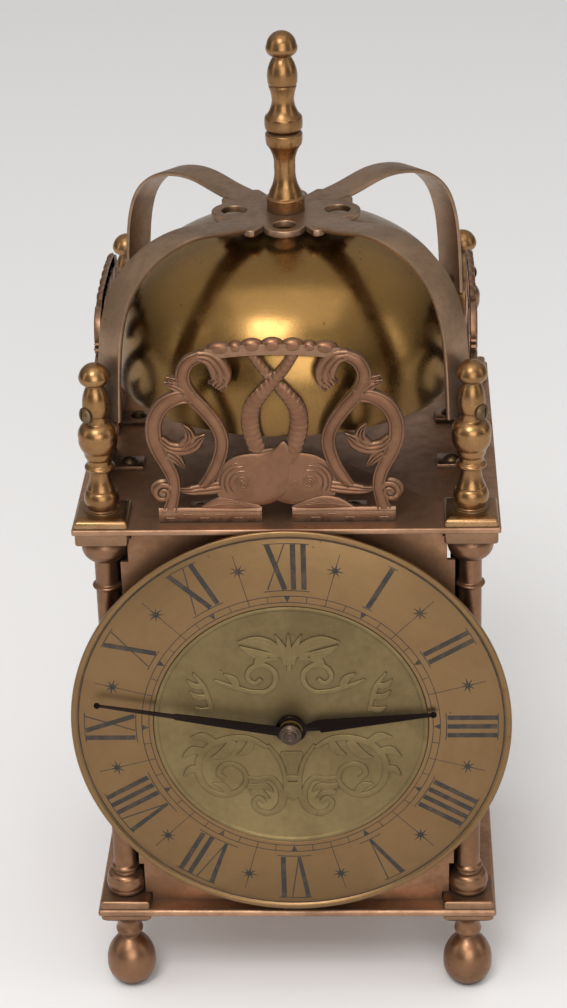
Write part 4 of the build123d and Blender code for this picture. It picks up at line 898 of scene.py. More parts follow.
def strap_arm(shape, centre, out):
    """One strap from the crown out and down to its finial."""
    run = smooth_run([(s, z, 0) for s, z in STRAP_RUN], 1.2)
    rows = []
    for i, at in enumerate(run):
        ahead = (run[min(i + 1, len(run) - 1)] - run[max(i - 1, 0)]).to_2d().normalized()
        row = []
        for t, h in STRAP_EDGE:
            s, z = at.x - ahead.y * h, at.y + ahead.x * h
            side = t * STRAP_HALF
            row.append((centre.x + out.x * s - out.y * side, centre.y + out.y * s + out.x * side, z))
        rows.append(row)
    shape.rows(rows, round_about=True, start_cap=True, end_cap=True)


# ---------------------------------------------------------------- frets
# left half of the fret, as ribbons (u across from the middle, v above the plate, width)
STEM = [(-15.6, 40.4, 2.6), (-18.6, 38.6, 3.1), (-19.8, 35.2, 3.3), (-18.4, 31.3, 3.4), (-15.2, 27.4, 3.3),
        (-12.6, 23.4, 3.2), (-11.7, 19.6, 3.2), (-12.6, 15.4, 3.1), (-14.4, 11.6, 3.0), (-16.6, 9.0, 2.0)]
CROOK = [(-16.4, 40.4, 2.4), (-13.6, 39.6, 3.6), (-11.7, 37.2, 4.6), (-11.4, 34.6, 4.2), (-12.6, 33.0, 2.0)]
CROOK_LOBES = [[(-11.6, 36.0, 2.0), (-10.7, 33.6, 1.8), (-11.4, 31.9, 0.5)],
               [(-12.0, 36.4, 2.0), (-12.9, 34.4, 1.6), (-14.2, 34.0, 0.5)]]
RING = [(-17.6, 30.6, 3.0), (-20.9, 30.5, 3.4), (-24.4, 28.6, 3.6), (-26.4, 25.2, 3.6), (-26.7, 21.3, 3.6),
        (-25.7, 17.6, 3.5), (-24.2, 14.4, 3.3), (-23.0, 11.4, 3.1), (-22.7, 8.4, 2.9), (-23.2, 5.6, 3.0), (-23.9, 3.0, 3.4)]
LEAVES = [
    [(-25.4, 20.6, 2.2), (-23.4, 18.6, 2.8), (-20.8, 18.0, 3.2), (-18.3, 19.0, 3.6), (-16.8, 20.4, 2.4), (-15.3, 21.6, 0.5)],
    [(-20.4, 18.4, 3.0), (-18.8, 20.4, 2.8), (-19.0, 22.4, 1.9), (-20.2, 24.0, 0.4)],
    [(-23.8, 17.0, 3.0), (-21.8, 15.6, 2.6), (-20.0, 13.5, 0.5)],
    [(-18.8, 31.6, 3.2), (-21.2, 33.2, 2.8), (-23.9, 34.2, 0.6)],
    [(-19.4, 33.6, 2.2), (-21.6, 34.6, 1.8), (-23.4, 35.4, 0.5)],
    [(-12.2, 8.8, 3.0), (-14.6, 8.4, 3.2), (-17.0, 8.1, 2.8), (-19.4, 7.9, 2.1), (-21.9, 8.3, 0.8)],
]
VOLUTE = (-25.2, 7.2, 3.1)
# the fish whose body lies on the right of the middle and whose head lies on the left
BODY = [(-4.6, 40.6, 2.3), (-2.6, 37.4, 2.5), (-0.2, 34.4, 2.8), (2.7, 31.1, 3.3), (4.9, 27.8, 3.8), (5.4, 24.0, 4.0),
        (4.7, 20.0, 3.9), (3.4, 16.2, 3.8), (1.6, 12.8, 3.6)]
HEAD = [(3.2, 10.6), (2.0, 7.2), (-1.0, 4.9), (-4.8, 4.2), (-9.2, 4.5), (-12.2, 5.4), (-13.3, 8.0), (-13.0, 11.4),
        (-11.4, 14.4), (-8.8, 16.2), (-5.8, 16.8), (-2.8, 17.0), (-0.4, 18.0), (1.9, 19.8), (3.2, 17.4), (3.7, 14.0)]
HEAD_MIDDLE = (-4.8, 10.6)
EYE = (-7.4, 9.8)
MOUND = [(-17.2, 3.6), (-15.4, 5.0), (-13.2, 6.1), (-10.4, 6.4), (-7.2, 5.6), (-4.4, 4.4), (-3.6, 3.4), (-10.0, 3.2)]
# bosses along the top bar: (u, half length, height)
BEADS = ((-11.4, 2.8, 1.6), (-8.0, 1.7, 1.4), (-4.4, 2.6, 1.7), (0.0, 2.6, 1.8), (4.4, 2.6, 1.7), (8.0, 1.7, 1.4),
         (11.4, 2.8, 1.6))
FRET_T = 1.6
BASE_H = 3.7
BASE_IN, BASE_OUT = 3.4, 26.4


def scales(length, t):
    """Rows of scales: cuts that deepen along each scale and towards the body's sides."""
    phase = (length / 1.4 + abs(t) * 0.8) % 1.0
    return -0.34 * phase * (0.35 + 0.65 * abs(t))


def bulge(shape, outline, middle_at, height, edge=0.62, rings=9):
    """Gently domed plate with a free outline, seen whole from middle_at."""
    loop = smooth_run([(u, v, 0) for u, v in outline + outline[:1]], 0.6)[:-1]
    rows = [[(at.x, at.y, 0.0) for at in loop]]
    for k in range(rings + 1):
        reach = 1 - 0.97 * (k / rings) ** 1.3
        lift = height * (edge + (1 - edge) * sqrt(max(0.0, 1 - reach ** 3)))
        rows.append([(middle_at[0] + (at.x - middle_at[0]) * reach, middle_at[1] + (at.y - middle_at[1]) * reach, lift)
                     for at in loop])
    shape.rows(rows, round_about=True, start_cap=True, end_cap=True)


def fish(shape, side, height, crossing, reach):
    """Scaled body, head with its crest of arcs, and eye.  crossing lifts the tail where the two bodies cross."""

    def skin(length, t):
        ease = min(1.0, max(0.0, (reach - length) / 4.0))
        return scales(length, t) + crossing * ease * ease * (3 - 2 * ease)

    ribbon(shape, [(side * u, v, w) for u, v, w in BODY], ROUNDED, height - 0.08, 0.0, 0.24, skin)
    head = [(side * u, v) for u, v in HEAD if side > 0 or v < 19]
    bulge(shape, head, (side * HEAD_MIDDLE[0], HEAD_MIDDLE[1]), height, 0.74)
    u, v = side * EYE[0], EYE[1]
    face = height * 0.93
    ribbon(shape, spiral(u, v, 1.7, 0.45, 200 if side > 0 else -20, -side * 1.5, 0.42, 0.36), ROUNDED, 0.3, face, 0.3)
    dome(shape, u, v, 0.42, 0.42, 0.3, face)
    for radius, reach in ((3.0, 70), (4.1, 62), (5.1, 48)):
        facing = 150 if side > 0 else 30
        ring_ridge(shape, u, v, radius, 0.5, 0.34, face - 0.045 * radius, facing - reach, facing + reach)


def fret_half(shape, side):
    """Scrolls, leaves and base of one side; side is 1 on the left."""

    def sided(points):
        return [(side * u, v, w) for u, v, w in points]

    ribbon(shape, sided(RING), SCROLL, FRET_T - 0.15)
    ribbon(shape, sided(STEM), SCROLL, FRET_T - 0.08)
    ribbon(shape, sided(CROOK), LEAF, FRET_T - 0.02)
    for points in CROOK_LOBES:
        ribbon(shape, sided(points), LEAF, FRET_T - 0.06)
    for points in LEAVES:
        ribbon(shape, sided(points), LEAF, FRET_T - 0.12)
    u, v, r = VOLUTE
    dome(shape, side * u, v, r, r, 0.95, 0.0, 0.0, 5, 36, 0.3)
    ribbon(shape, spiral(side * u, v, r - 0.65, 0.6, -20 if side > 0 else 200, side * 1.5, 1.3, 0.8), ROUNDED, 0.62, 0.8, 0.35)
    bulge(shape, [(side * a, b) for a, b in MOUND], (side * -10.4, 4.6), FRET_T - 0.2, 0.8, 5)
    for k in range(3):
        line = [(side * (-14.6 + 1.6 * k), 4.3 + 0.5 * k, 0.35), (side * -10.6, 4.7 + 0.5 * k, 0.45),
                (side * (-6.6 - 1.0 * k), 4.3 + 0.45 * k, 0.3)]
        ribbon(shape, line, ROUNDED, 0.24, FRET_T - 0.28, 0.5)
    ends = (side * -BASE_OUT, side * -BASE_IN)
    ribbon(shape, [(ends[0], BASE_H / 2, BASE_H), (ends[1], BASE_H / 2, BASE_H)], BAR, FRET_T - 0.3, 0.0, 2.0)
    ribbon(shape, [(ends[0], BASE_H - 0.75, 0.3), (ends[1], BASE_H - 0.75, 0.3)], ROUNDED, 0.28, FRET_T - 0.34, 2.0)
    for k in range(6):
        u = side * (-BASE_OUT + 2.6 + 3.8 * k)
        v = 2.1 if k % 2 else 1.2
        ribbon(shape, [(u - 1.0, v, 0.3), (u + 1.0, v, 0.3)], ROUNDED, 0.28, FRET_T - 0.34, 1.0)


def bar_top(u):
    """Middle of the arched top bar at u."""
    return 41.0 + 1 - (u / 14.0) ** 2


def build_fret(name, node, place, lug_at, lug_room):
    """One fret: place maps u, v and height to the clock's frame."""
    shape = Shape(place)
    fret_half(shape, 1)
    fret_half(shape, -1)
    fish(shape, -1, FRET_T - 0.5, 0.3, 16.0)
    fish(shape, 1, FRET_T - 0.14, -0.5, 12.0)
    top = [(u, bar_top(u) - 0.2, 2.6) for u in (-14.6, -9, -4.5, 0, 4.5, 9, 14.6)]
    ribbon(shape, top, BAR, FRET_T - 0.35, 0.0, 1.0)
    lower = [(u, bar_top(u) - 1.1, 0.6) for u in (-13.4, -6, 0, 6, 13.4)]
    ribbon(shape, lower, ROUNDED, FRET_T - 0.15, 0.0, 0.8)
    for u, half, rise in BEADS:
        dome(shape, u, bar_top(u) + 0.6, half, rise, FRET_T - 0.05, 0.0, 0.0, 7, 32, 0.45)
    for side in (-1, 1):
        u = side * lug_at
        reach = [(u - 3, -lug_room), (u + 3, -lug_room), (u + 3, 0.4), (u - 3, 0.4)]
        rows = []
        for v, inset in ((0.0, 0.1), (0.15, 0.0), (0.95, 0.0), (1.1, 0.15)):
            rows.append([(a + (inset if a < u else -inset), v, h + (inset if h < 0 else -inset)) for a, h in reach])
        shape.rows(rows, round_about=True, start_cap=True, end_cap=True)
    return shape.piece(name, fret_brass(), "fret_brass", replaces=[node], sharp=50)


class CLOCK_OT_frets(bpy.types.Operator):
    """Cast frets of crossed dolphins and scrolls, at the front and both sides"""

    bl_idname = "clock.frets"
    bl_label = "Frets"

    def execute(self, context):
        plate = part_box("top_plate")[1].z / MM
        low, high = (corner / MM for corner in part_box("fret_front"))
        across, face = (low.x + high.x) / 2, low.y
        lug_room = high.y - low.y - FRET_T
        build_fret("cast_fret_front", "fret_front",
                   lambda u, v, h: (across + u, face + FRET_T - h, plate + v), 17.0, lug_room)
        for side, node in ((-1, "fret_left"), (1, "fret_right")):
            low, high = (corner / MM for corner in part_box(node))
            outer = high.x if side > 0 else low.x
            along = (low.y + high.y) / 2
            build_fret("cast_" + node, node, side_place(side, outer, along, plate), 12.8, high.x - low.x - FRET_T)
        return {"FINISHED"}


def side_place(side, outer, along, plate):
    """Places a fret in a side plane, its face outwards."""
    return lambda u, v, h: (outer - side * (FRET_T - h), along + side * u, plate + v)


# ---------------------------------------------------------------- dial
NUMERALS = ("I", "II", "III", "IIII", "V", "VI", "VII", "VIII", "IX", "X", "XI", "XII")
NUMERAL_IN, NUMERAL_OUT = 35.8, 47.7
TRACK_IN, TRACK_OUT = 32.75, 34.4
STAR_R = 42.1
RIM_IN = 49.15
ADVANCE = {"I": 2.35, "V": 5.4, "X": 5.4}


class DialFace:
    """Places u, v about the dial's centre and h out from its face."""

    def __init__(self):
        low, high = (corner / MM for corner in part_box("chapter_ring"))
        self.x = (low.x + high.x) / 2
        self.z = (low.z + high.z) / 2
        self.radius = (high.z - low.z) / 2
        self.back = high.y
        self.face = low.y + 0.5

    def place(self, u, v, h):
        return (self.x + u, self.face - h, self.z + v)


def spoke(angle, r, aside):
    """Point at a radius and a distance to the right of the line at a clock angle."""
    a = radians(angle)
    return (r * sin(a) + aside * cos(a), r * cos(a) - aside * sin(a))


def stroke(shape, angle, start, end, width, lift, end_width=None):
    """Engraved stroke from one (aside, radius) to another about a clock angle."""
    end_width = width if end_width is None else end_width
    a, b = Vector(spoke(angle, start[1], start[0])), Vector(spoke(angle, end[1], end[0]))
    side = Vector((-(b - a).y, (b - a).x)).normalized()
    outline = [a + side * width / 2, a - side * width / 2, b - side * end_width / 2, b + side * end_width / 2]
    shape.plate([tuple(p) for p in outline], lift)


def arc_line(shape, radius, width, a0, a1, lift):
    """Engraved line along a circle, between clock angles."""
    count = max(2, ceil(abs(a1 - a0) / 3))
    rows = []
    for i in range(count + 1):
        angle = a0 + (a1 - a0) * i / count
        rows.append([(*spoke(angle, radius + width / 2, 0), lift), (*spoke(angle, radius - width / 2, 0), lift)])
    shape.rows(rows)


def numeral(shape, angle, letters, lift):
    """One Roman numeral, its top outwards."""
    thick, thin = sizes().thick_stroke / MM, sizes().thin_stroke / MM
    width = sum(ADVANCE[letter] for letter in letters)
    at = -width / 2
    low, high = NUMERAL_IN + 0.2, NUMERAL_OUT - 0.2
    for letter in letters:
        mid = at + ADVANCE[letter] / 2
        half = ADVANCE[letter] / 2 - 0.75
        if letter == "I":
            stroke(shape, angle, (mid, low), (mid, high), thick, lift)
        if letter == "V":
            stroke(shape, angle, (mid - half, high), (mid + 0.1, low), thick, lift, thick * 0.7)
            stroke(shape, angle, (mid + half, high), (mid + 0.2, low), thin, lift + 0.004)
        if letter == "X":
            stroke(shape, angle, (mid - half, high), (mid + half, low), thick, lift)
            stroke(shape, angle, (mid + half, high), (mid - half, low), thin, lift + 0.004)
        at += ADVANCE[letter]
    for radius in (NUMERAL_IN, NUMERAL_OUT):
        reach = degrees((width / 2 + 0.1) / radius)
        arc_line(shape, radius, thin * 0.8, angle - reach, angle + reach, lift + 0.002)


def star(shape, angle, lift):
    """Half-hour star with eight rays, on a line out from the track."""
    thin = sizes().thin_stroke / MM
    stroke(shape, angle, (0, TRACK_OUT), (0, 46.4), thin * 0.6, lift)
    spot = Vector(spoke(angle, STAR_R, 0))
    for i in range(8):
        ray = radians(-angle + i * 45)
        out = Vector((cos(ray), sin(ray)))
        side = Vector((-out.y, out.x))
        reach = 2.0 if i % 2 == 0 else 1.7
        tip = spot + out * reach
        outline = [spot + side * 0.3, spot - side * 0.3, tip - side * 0.04, tip + side * 0.04]
        shape.plate([tuple(p) for p in outline], lift + 0.003)
    shape.plate([tuple(spot + Vector((cos(a), sin(a))) * 0.42) for a in (2 * pi * i / 12 for i in range(12))],
                lift + 0.006)


class CLOCK_OT_chapter_ring(bpy.types.Operator):
    """Brushed chapter ring with its rim bead, numerals, stars and minute track"""

    bl_idname = "clock.chapter_ring"
    bl_label = "Chapter ring"

    def execute(self, context):
        dial = DialFace()
        c = colours()
        centre = (dial.x * MM, 0.0, dial.z * MM)
        metal = material_of("chapter brass", ringed_metal, c.chapter, c.chapter_dark, 0.27, centre,
                            (1.0, 0.0, 1.0), 0.35, 5200.0, 0.22, 0.35)
        ring = Shape(dial.place)
        depth = dial.back - dial.face
        profile = [(31.75, -depth), (31.75, -0.08), (31.85, 0.0), (RIM_IN - 0.12, 0.0), (RIM_IN, -0.06),
                   (RIM_IN + 0.1, 0.02), (RIM_IN + 0.3, 0.3), (RIM_IN + 0.65, 0.46), (RIM_IN + 1.0, 0.48),
                   (dial.radius - 0.25, 0.36), (dial.radius - 0.05, 0.14), (dial.radius, -0.15),
                   (dial.radius, 0.15 - depth), (dial.radius - 0.15, -depth)]
        ring.rows([[(r * cos(a), r * sin(a), h) for r, h in profile]
                   for a in (2 * pi * i / 220 for i in range(221))], round_about=True)
        ring.piece("engraved_chapter_ring", metal, "chapter_brass", replaces=["chapter_ring"], sharp=30)
        marks = Shape(dial.place)
        lift = 0.012
        for hour, letters in enumerate(NUMERALS, 1):
            numeral(marks, hour * 30, letters, lift)
            star(marks, hour * 30 + 15, lift)
            tri = [spoke(hour * 30, TRACK_OUT, 0.75), spoke(hour * 30, TRACK_OUT, -0.75), spoke(hour * 30, TRACK_IN, 0)]
            marks.plate(tri, lift + 0.004)
        for radius in (TRACK_IN, TRACK_OUT):
            arc_line(marks, radius, 0.2, 0, 360, lift)
        arc_line(marks, RIM_IN - 0.12, 0.24, 0, 360, lift)
        for tick in range(48):
            stroke(marks, tick * 7.5, (0, TRACK_IN), (0, TRACK_OUT), 0.18, lift)
        marks.piece("dial_marks", material_of("dial ink", dial_ink), "chapter_brass", closed=False)
        return {"FINISHED"}


# ornament of the dial's centre, right half, as ribbons (u, v, width)
STEMS = (
    [(5.4, -4.8, 0.8), (2.8, -9.2, 1.0), (1.7, -14.0, 1.0), (1.8, -19.0, 1.0), (3.2, -22.6, 0.9), (6.6, -24.4, 0.4)],
    [(5.6, -5.6, 0.9), (9.0, -3.4, 1.3), (13.4, -3.0, 1.5), (18.4, -4.8, 1.5), (21.3, -8.4, 1.4), (21.8, -12.4, 1.4),
     (20.2, -16.4, 1.3), (16.6, -18.6, 1.3), (12.9, -17.6, 1.2), (10.8, -14.6, 1.1), (11.6, -11.4, 1.1),
     (14.2, -10.0, 1.1), (16.4, -10.8, 1.2), (17.0, -12.8, 1.2), (15.6, -14.2, 1.2)],
    [(10.8, -13.6, 0.8), (8.0, -14.2, 1.1), (4.8, -14.0, 1.2), (2.9, -17.0, 1.2), (3.0, -21.0, 1.2), (5.4, -23.6, 1.2),
     (8.2, -22.8, 1.2), (9.2, -20.6, 1.1), (7.8, -19.4, 1.1), (6.6, -20.6, 1.0)],
    [(18.0, 4.2, 0.7), (18.8, 7.6, 1.1), (19.8, 10.9, 1.1), (22.0, 14.4, 0.5)],
    [(17.2, 12.6, 0.5), (14.4, 11.2, 1.0), (11.4, 10.2, 1.1), (8.8, 9.4, 1.1), (5.6, 9.4, 1.1), (3.4, 11.6, 1.1),
     (3.4, 14.6, 1.1), (5.8, 16.4, 1.1), (8.6, 15.6, 1.1), (9.6, 13.2, 1.0), (8.0, 11.6, 1.0), (6.4, 12.8, 1.0)],
)
FOLIAGE = (
    [(13.4, -3.6, 1.6), (14.6, -5.8, 2.2), (16.4, -7.6, 1.9), (18.8, -8.4, 0.4)],
    [(9.2, -3.8, 1.4), (10.2, -6.2, 1.9), (12.6, -7.6, 0.4)],
    [(20.4, -6.6, 1.4), (23.0, -6.4, 1.8), (25.4, -8.2, 0.4)],
    [(17.8, -4.2, 1.4), (20.4, -2.6, 1.8), (23.2, -2.8, 0.4)],
    [(21.8, -11.4, 1.3), (23.8, -11.6, 1.5), (25.2, -13.4, 0.4)],
    [(14.6, -18.6, 1.2), (16.2, -16.2, 1.7), (18.6, -15.4, 0.4)],
    [(10.6, -16.0, 1.2), (8.4, -16.4, 1.7), (6.0, -16.2, 1.3), (4.6, -17.8, 0.4)],
    [(10.0, -18.0, 1.1), (7.6, -17.8, 1.5), (5.4, -19.6, 0.4)],
    [(19.0, 8.2, 1.1), (21.2, 8.0, 1.5), (23.0, 9.6, 0.4)],
    [(19.8, 10.9, 1.1), (21.8, 11.0, 1.4), (23.4, 12.6, 0.4)],
    [(18.2, 5.0, 1.0), (20.2, 4.4, 1.4), (21.9, 5.4, 0.4)],
    [(1.4, 19.0, 1.4), (4.2, 21.4, 2.6), (7.6, 22.6, 2.4), (11.6, 22.4, 0.4)],
    [(2.4, 18.4, 1.4), (5.6, 18.8, 2.2), (8.4, 19.8, 1.8), (11.2, 21.4, 0.4)],
    [(4.2, 18.8, 1.6), (6.8, 17.6, 1.8), (8.0, 16.0, 0.4)],
    [(12.0, 10.4, 1.2), (12.8, 12.6, 1.6), (15.0, 14.2, 0.4)],
    [(0.9, 16.6, 0.9), (1.3, 20.4, 1.5), (3.0, 24.4, 0.4)],
)
# central cup, cap and shield: outlines of their right halves
CUP = [(0.0, -6.6), (2.5, -6.8), (2.1, -9.2), (1.3, -11.6), (1.2, -12.4), (0.0, -12.5)]
CAP = [(0.0, -13.1), (1.6, -13.3), (1.9, -13.9), (1.3, -14.5), (0.0, -14.6)]
SHIELD = [(0.0, -15.0), (1.5, -15.1), (1.6, -17.4), (1.2, -19.2), (0.0, -20.1)]


def both_sides(outline):
    """Whole outline from its right half, which starts and ends on the middle line."""
    return outline + [(-u, v) for u, v in reversed(outline[1:-1])]


def dial_ornament(shape, side, height):
    """One side of the centre's ornament."""
    for points in STEMS:
        ribbon(shape, [(side * u, v, w * 1.15) for u, v, w in points], ROUNDED, height * 0.9, 0.0, 0.5)
    for points in FOLIAGE:
        ribbon(shape, [(side * u, v, w * 1.15) for u, v, w in points], LEAF, height, 0.0, 0.5)
    for u in (0.45, 1.25):
        ribbon(shape, [(side * u * 1.1, -7.3, 0.4), (side * u * 0.75, -11.6, 0.3)], ROUNDED, 0.12, height - 0.06, 1.0)


class CLOCK_OT_dial_centre(bpy.types.Operator):
    """Matte centre of the dial with a raised ring and cast ornament: an urn among scrolls"""

    bl_idname = "clock.dial_centre"
    bl_label = "Dial centre"

    def execute(self, context):
        dial = DialFace()
        low, high = (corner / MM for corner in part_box("dial_centre"))
        radius = (high.x - low.x) / 2
        c = colours()
        metal = material_of("dial centre brass", aged_metal, c.centre, c.centre_dark, 0.44, 0.5, 0.85, 0.0, 1.2, 0.5)
        floor = -0.15
        disc = Shape(dial.place)
        depth = dial.back - dial.face
        profile = [(3.15, -depth), (3.15, floor - 0.05), (3.25, floor), (radius - 1.35, floor), (radius - 1.15, -0.05),
                   (radius - 1.0, 0.1), (radius - 0.65, 0.2), (radius - 0.35, 0.2), (radius - 0.08, 0.08),
                   (radius, -0.1), (radius, -depth)]
        disc.rows([[(r * cos(a), r * sin(a), h) for r, h in profile]
                   for a in (2 * pi * i / 160 for i in range(161))], round_about=True)
        disc.piece("centre_disc", metal, "dial_centre_brass", replaces=["dial_centre"], sharp=30)
        relief = Shape(lambda u, v, h: dial.place(u, v, h + floor - 0.04))
        height = sizes().relief / MM
        for side in (-1, 1):
            dial_ornament(relief, side, height)
        for outline in (CUP, CAP, SHIELD):
            middle_v = (outline[0][1] + outline[-1][1]) / 2
            bulge(relief, both_sides(outline), (0.0, middle_v), height, 0.7, 5)
        ribbon(relief, [(0.0, 15.0, 1.0), (0.0, 19.6, 1.5), (0.0, 24.6, 0.5)], LEAF, height, 0.0, 0.5)
        relief.piece("centre_ornament", metal, "dial_centre_brass", sharp=60)
        return {"FINISHED"}


# ---------------------------------------------------------------- hands
def build_hand(name, node, body, angle, sides, hub, face, thickness, material):
    """Hand with a ridge along its middle.  sides are (height, left, right) from the boss to the tip."""
    dial = DialFace()
    turn_by = radians(angle)

    def place(u, v, h):
        return (dial.x + u * cos(turn_by) + v * sin(turn_by), face - h, dial.z - u * sin(turn_by) + v * cos(turn_by))

    shape = Shape(place)
    rows = []
    for v, left, right in sides:
        ridge = min(thickness * 0.5, (left + right) * 0.22)
        mid = (right - left) / 2
        rows.append([(-left, v, 0), (-left, v, thickness * 0.5), (mid, v, thickness * 0.5 + ridge),
                     (right, v, thickness * 0.5), (right, v, 0)])
    shape.rows(rows, round_about=True, start_cap=True, end_cap=True)
    tip = sides[-1][0]
    button(shape, 0, tip, 0.75, 0.0, thickness, 20)
    button(shape, 0, 0, hub, 0.0, thickness, 44)
    return shape.piece(name, material, "hand_steel", body=body, replaces=[node], sharp=28)


class CLOCK_OT_hands(bpy.types.Operator):
    """Blackened hands with ridged blades and ball tips, and the nut that holds them"""

    bl_idname = "clock.hands"
    bl_label = "Hands"

    def execute(self, context):
        c = colours()
        steel = material_of("hand steel", aged_metal, c.hands, (0.006, 0.005, 0.005), 0.26, 0.4, 0.3, 0.0, 0.6, 0.25)
        hour = [(1.2, 0.8, 0.8), (3.8, 0.8, 0.8), (4.2, 0.95, 0.8), (6.6, 1.75, 1.0), (6.9, 1.75, 1.6),
                (20.0, 1.1, 1.0), (33.0, 0.42, 0.42)]
        minute = [(1.2, 1.0, 1.0), (3.4, 1.2, 1.2), (16.0, 1.05, 1.05), (26.4, 0.8, 0.8), (27.2, 0.55, 0.55),
                  (38.0, 0.42, 0.42), (44.8, 0.3, 0.3)]
        for name, node, body, angle, sides, hub in (
            ("blued_hour_hand", "hour_hand", "hour_hand_wheel", HOUR_ANGLE, hour, 3.6),
            ("blued_minute_hand", "minute_hand", "minute_hand_arbor", MINUTE_ANGLE, minute, 2.7),
        ):
            low, high = (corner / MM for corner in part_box(node))
            build_hand(name, node, body, angle, sides, hub, high.y, high.y - low.y, steel)
        low, high = (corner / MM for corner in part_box("hand_nut"))
        at = (low + high) / 2
        shape = Shape(lambda a, b, c: (at.x + a, high.y - c, at.z + b))
        profile = [(0, 0), (2.4, 0), (2.6, 0.15), (2.6, 0.55), (2.35, 0.75, 0.05), (1.5, 1.25, 0.12), (1.35, 1.45),
                   (1.15, 1.78, 0.05), (0.85, 1.8), (0.7, 1.6), (0, 1.55)]
        turn(shape, profile, 0.0, 0.0, 40)
        nut = material_of("nut steel", aged_metal, (0.12, 0.085, 0.06), (0.04, 0.03, 0.025), 0.3, 0.5, 0.6, 0.0, 0.5)
        shape.piece("turned_hand_nut", nut, "movement_steel", body="minute_hand_arbor", replaces=["hand_nut"])
        return {"FINISHED"}


MINUTE_ANGLE = 46.6 * 6
HOUR_ANGLE = (2 + 46.6 / 60) * 30


# ---------------------------------------------------------------- movement and fasteners
class CLOCK_OT_movement(bpy.types.Operator):
    """Finish of the movement's plates, wheels and springs, and of screws"""

    bl_idname = "clock.movement"
    bl_label = "Movement"

    def execute(self, context):
        brass = material_of("movement brass", aged_metal, srgb(186, 150, 88), srgb(136, 104, 60), 0.28, 0.4, 0.4, 0.0)
        steel = material_of("movement steel", aged_metal, srgb(168, 168, 172), srgb(112, 110, 112), 0.24, 0.3, 0.4, 0.0)
        blued = material_of("spring steel", aged_metal, srgb(60, 76, 120), srgb(30, 36, 60), 0.2, 0.4, 0.3, 0.0)
        screw = material_of("old screws", aged_metal, srgb(128, 106, 80), srgb(62, 48, 36), 0.36, 0.6, 0.6, 0.0)
        for node in ("dial_feet", "movement_front_plate", "movement_back_plate", "movement_pillars", "centre_wheel",
                     "cannon_pinion", "minute_wheel", "hour_wheel", "intermediate_wheel", "third_wheel",
                     "fourth_wheel", "escape_wheel", "barrel", "balance_wheel"):
            dress(node, brass)
        for node in ("movement_studs", "centre_arbor", "pallet_lever", "barrel_arbor", "ratchet_wheel", "winding_key",
                     "click"):
            dress(node, steel)
        for node in ("mainspring", "hairspring"):
            dress(node, blued)
        for node in ("bell_bolt", "frame_screws", "movement_screws"):
            dress(node, screw)
        return {"FINISHED"}


# ---------------------------------------------------------------- stage
CAMERA_AT = (24.658, -546.7125, 388.106)
CAMERA_YAW = -0.0493996
CAMERA_PITCH = 0.4664353
CAMERA_ROLL = -0.0295314


def area_light(name, at, aim, width, height, power, colour=(1.0, 0.97, 0.93)):
    data = bpy.data.lights.new(name, "AREA")
    data.shape = "RECTANGLE"
    data.size = width
    data.size_y = height
    data.energy = power
    data.color = colour
    lamp = bpy.data.objects.new(name, data)
    bpy.context.scene.collection.objects.link(lamp)
    lamp.location = at
    lamp.rotation_euler = (Vector(aim) - Vector(at)).to_track_quat("-Z", "Y").to_euler()
    return lamp


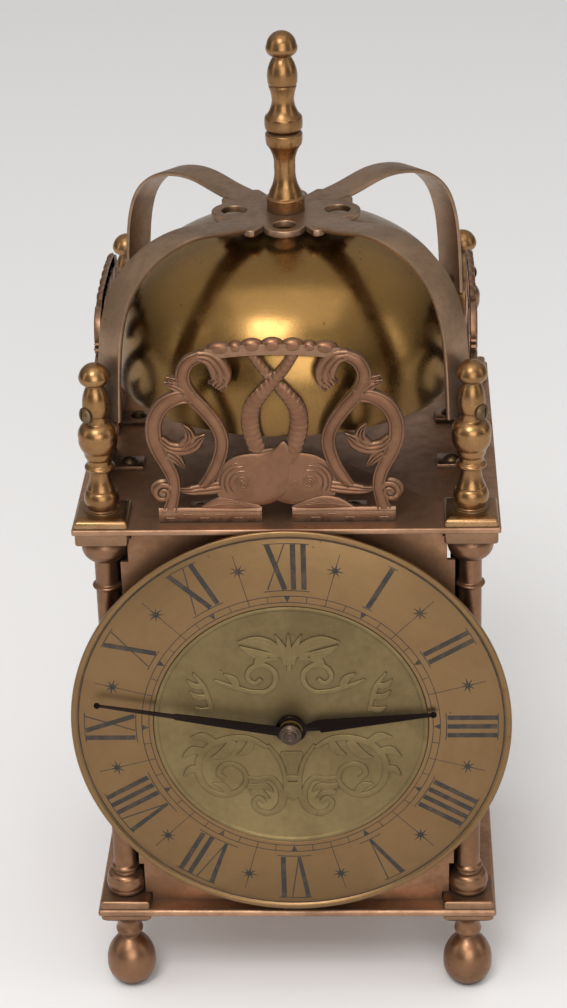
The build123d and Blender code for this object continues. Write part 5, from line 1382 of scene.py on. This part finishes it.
class CLOCK_OT_stage(bpy.types.Operator):
    """Pale floor and backdrop, soft lamps and the camera"""

    bl_idname = "clock.stage"
    bl_label = "Stage"

    def execute(self, context):
        scene = context.scene
        shape = Shape()
        rows = []
        for y, z in [(-2600.0, 0.0), (2200.0, 0.0)] + [
            (2200 + 600 * sin(a), 600 - 600 * cos(a)) for a in (pi / 2 * i / 12 for i in range(1, 13))
        ] + [(2800.0, 2000.0)]:
            rows.append([(-2600.0, y, z), (2600.0, y, z)])
        shape.rows(rows)
        mesh = bpy.data.meshes.new("floor")
        mesh.from_pydata([Vector(v) * MM for v in shape.verts], [], shape.faces)
        for polygon in mesh.polygons:
            polygon.use_smooth = True
        floor = bpy.data.objects.new("floor", mesh)
        scene.collection.objects.link(floor)
        material = bpy.data.materials.new("pale floor")
        material.use_nodes = True
        shader = material.node_tree.nodes["Principled BSDF"]
        shader.inputs["Base Color"].default_value = (*scene.lantern_stage.floor, 1.0)
        shader.inputs["Roughness"].default_value = 0.55
        shader.inputs["Specular IOR Level"].default_value = 0.12
        floor.data.materials.append(material)

        power = scene.lantern_stage.ceiling
        area_light("ceiling lamp", (-0.25, -0.9, 1.25), (0, 0, 0.1), 0.5, 0.5, power * 1.8)
        area_light("ceiling glow", (0.0, -0.4, 1.6), (0, 0, 0.1), 1.6, 1.2, power * 1.1)
        area_light("front fill", (0.2, -1.5, 0.6), (0, 0, 0.1), 1.0, 0.8, power * 1.7)
        area_light("left fill", (-1.3, -0.4, 0.6), (0, 0, 0.12), 0.3, 0.9, power * 0.3)
        area_light("right fill", (1.3, -0.3, 0.6), (0, 0, 0.12), 0.3, 0.9, power * 0.25)

        world = bpy.data.worlds.new("room")
        scene.world = world
        world.use_nodes = True
        tree = world.node_tree
        split = add_node(tree, "SeparateXYZ")
        link(tree, add_node(tree, "TexCoord").outputs["Generated"], split.inputs[0])
        height = spread(tree, split.outputs["Z"], -0.1, 0.85)
        tone = mix(tree, height, (0.11, 0.10, 0.09), (0.62, 0.6, 0.57))
        link(tree, tone, tree.nodes["Background"].inputs["Color"])
        tree.nodes["Background"].inputs["Strength"].default_value = 1.0

        data = bpy.data.cameras.new("camera")
        data.lens = scene.lantern_stage.focal
        data.sensor_width = 36.0
        data.sensor_fit = "AUTO"
        data.clip_start = 0.01
        camera = bpy.data.objects.new("camera", data)
        scene.collection.objects.link(camera)
        yaw, pitch, roll = CAMERA_YAW, CAMERA_PITCH, CAMERA_ROLL
        ahead = Vector((sin(yaw) * cos(pitch), cos(yaw) * cos(pitch), -sin(pitch)))
        level = Vector((cos(yaw), -sin(yaw), 0.0))
        upright = level.cross(ahead)
        right = cos(roll) * level + sin(roll) * upright
        top = -sin(roll) * level + cos(roll) * upright
        turned = Matrix((right, top, -ahead)).transposed().to_4x4()
        camera.matrix_world = Matrix.Translation(Vector(CAMERA_AT) * MM) @ turned
        scene.camera = camera
        scene.view_settings.view_transform = "Standard"
        return {"FINISHED"}


# ---------------------------------------------------------------- panel and registration
OPERATORS = (
    CLOCK_OT_columns, CLOCK_OT_feet, CLOCK_OT_finials, CLOCK_OT_case, CLOCK_OT_bell, CLOCK_OT_bell_frame,
    CLOCK_OT_frets, CLOCK_OT_chapter_ring, CLOCK_OT_dial_centre, CLOCK_OT_hands, CLOCK_OT_movement, CLOCK_OT_stage,
)
GROUPS = (("lantern_colours", LanternColours), ("lantern_sizes", LanternSizes), ("lantern_stage", LanternStage))


class CLOCK_PT_panel(bpy.types.Panel):
    """Lists the clock's pieces, colours and sizes"""

    bl_idname = "CLOCK_PT_panel"
    bl_label = "Lantern clock"
    bl_space_type = "VIEW_3D"
    bl_region_type = "UI"
    bl_category = "Lantern clock"

    def draw(self, context):
        for operator in OPERATORS:
            self.layout.operator(operator.bl_idname)
        for attribute, group in GROUPS:
            box = self.layout.box()
            for name in group.__annotations__:
                box.prop(getattr(context.scene, attribute), name)


def register():
    for attribute, group in GROUPS:
        bpy.utils.register_class(group)
        setattr(bpy.types.Scene, attribute, bpy.props.PointerProperty(type=group))
    for operator in OPERATORS:
        bpy.utils.register_class(operator)
    bpy.utils.register_class(CLOCK_PT_panel)


def unregister():
    bpy.utils.unregister_class(CLOCK_PT_panel)
    for operator in reversed(OPERATORS):
        bpy.utils.unregister_class(operator)
    for attribute, group in reversed(GROUPS):
        delattr(bpy.types.Scene, attribute)
        bpy.utils.unregister_class(group)


def main():
    register()
    aged_metal_group()
    turned_lines_group()
    for operator in OPERATORS:
        getattr(bpy.ops.clock, operator.bl_idname.split(".")[1])()


if __name__ == "__main__":
    main()
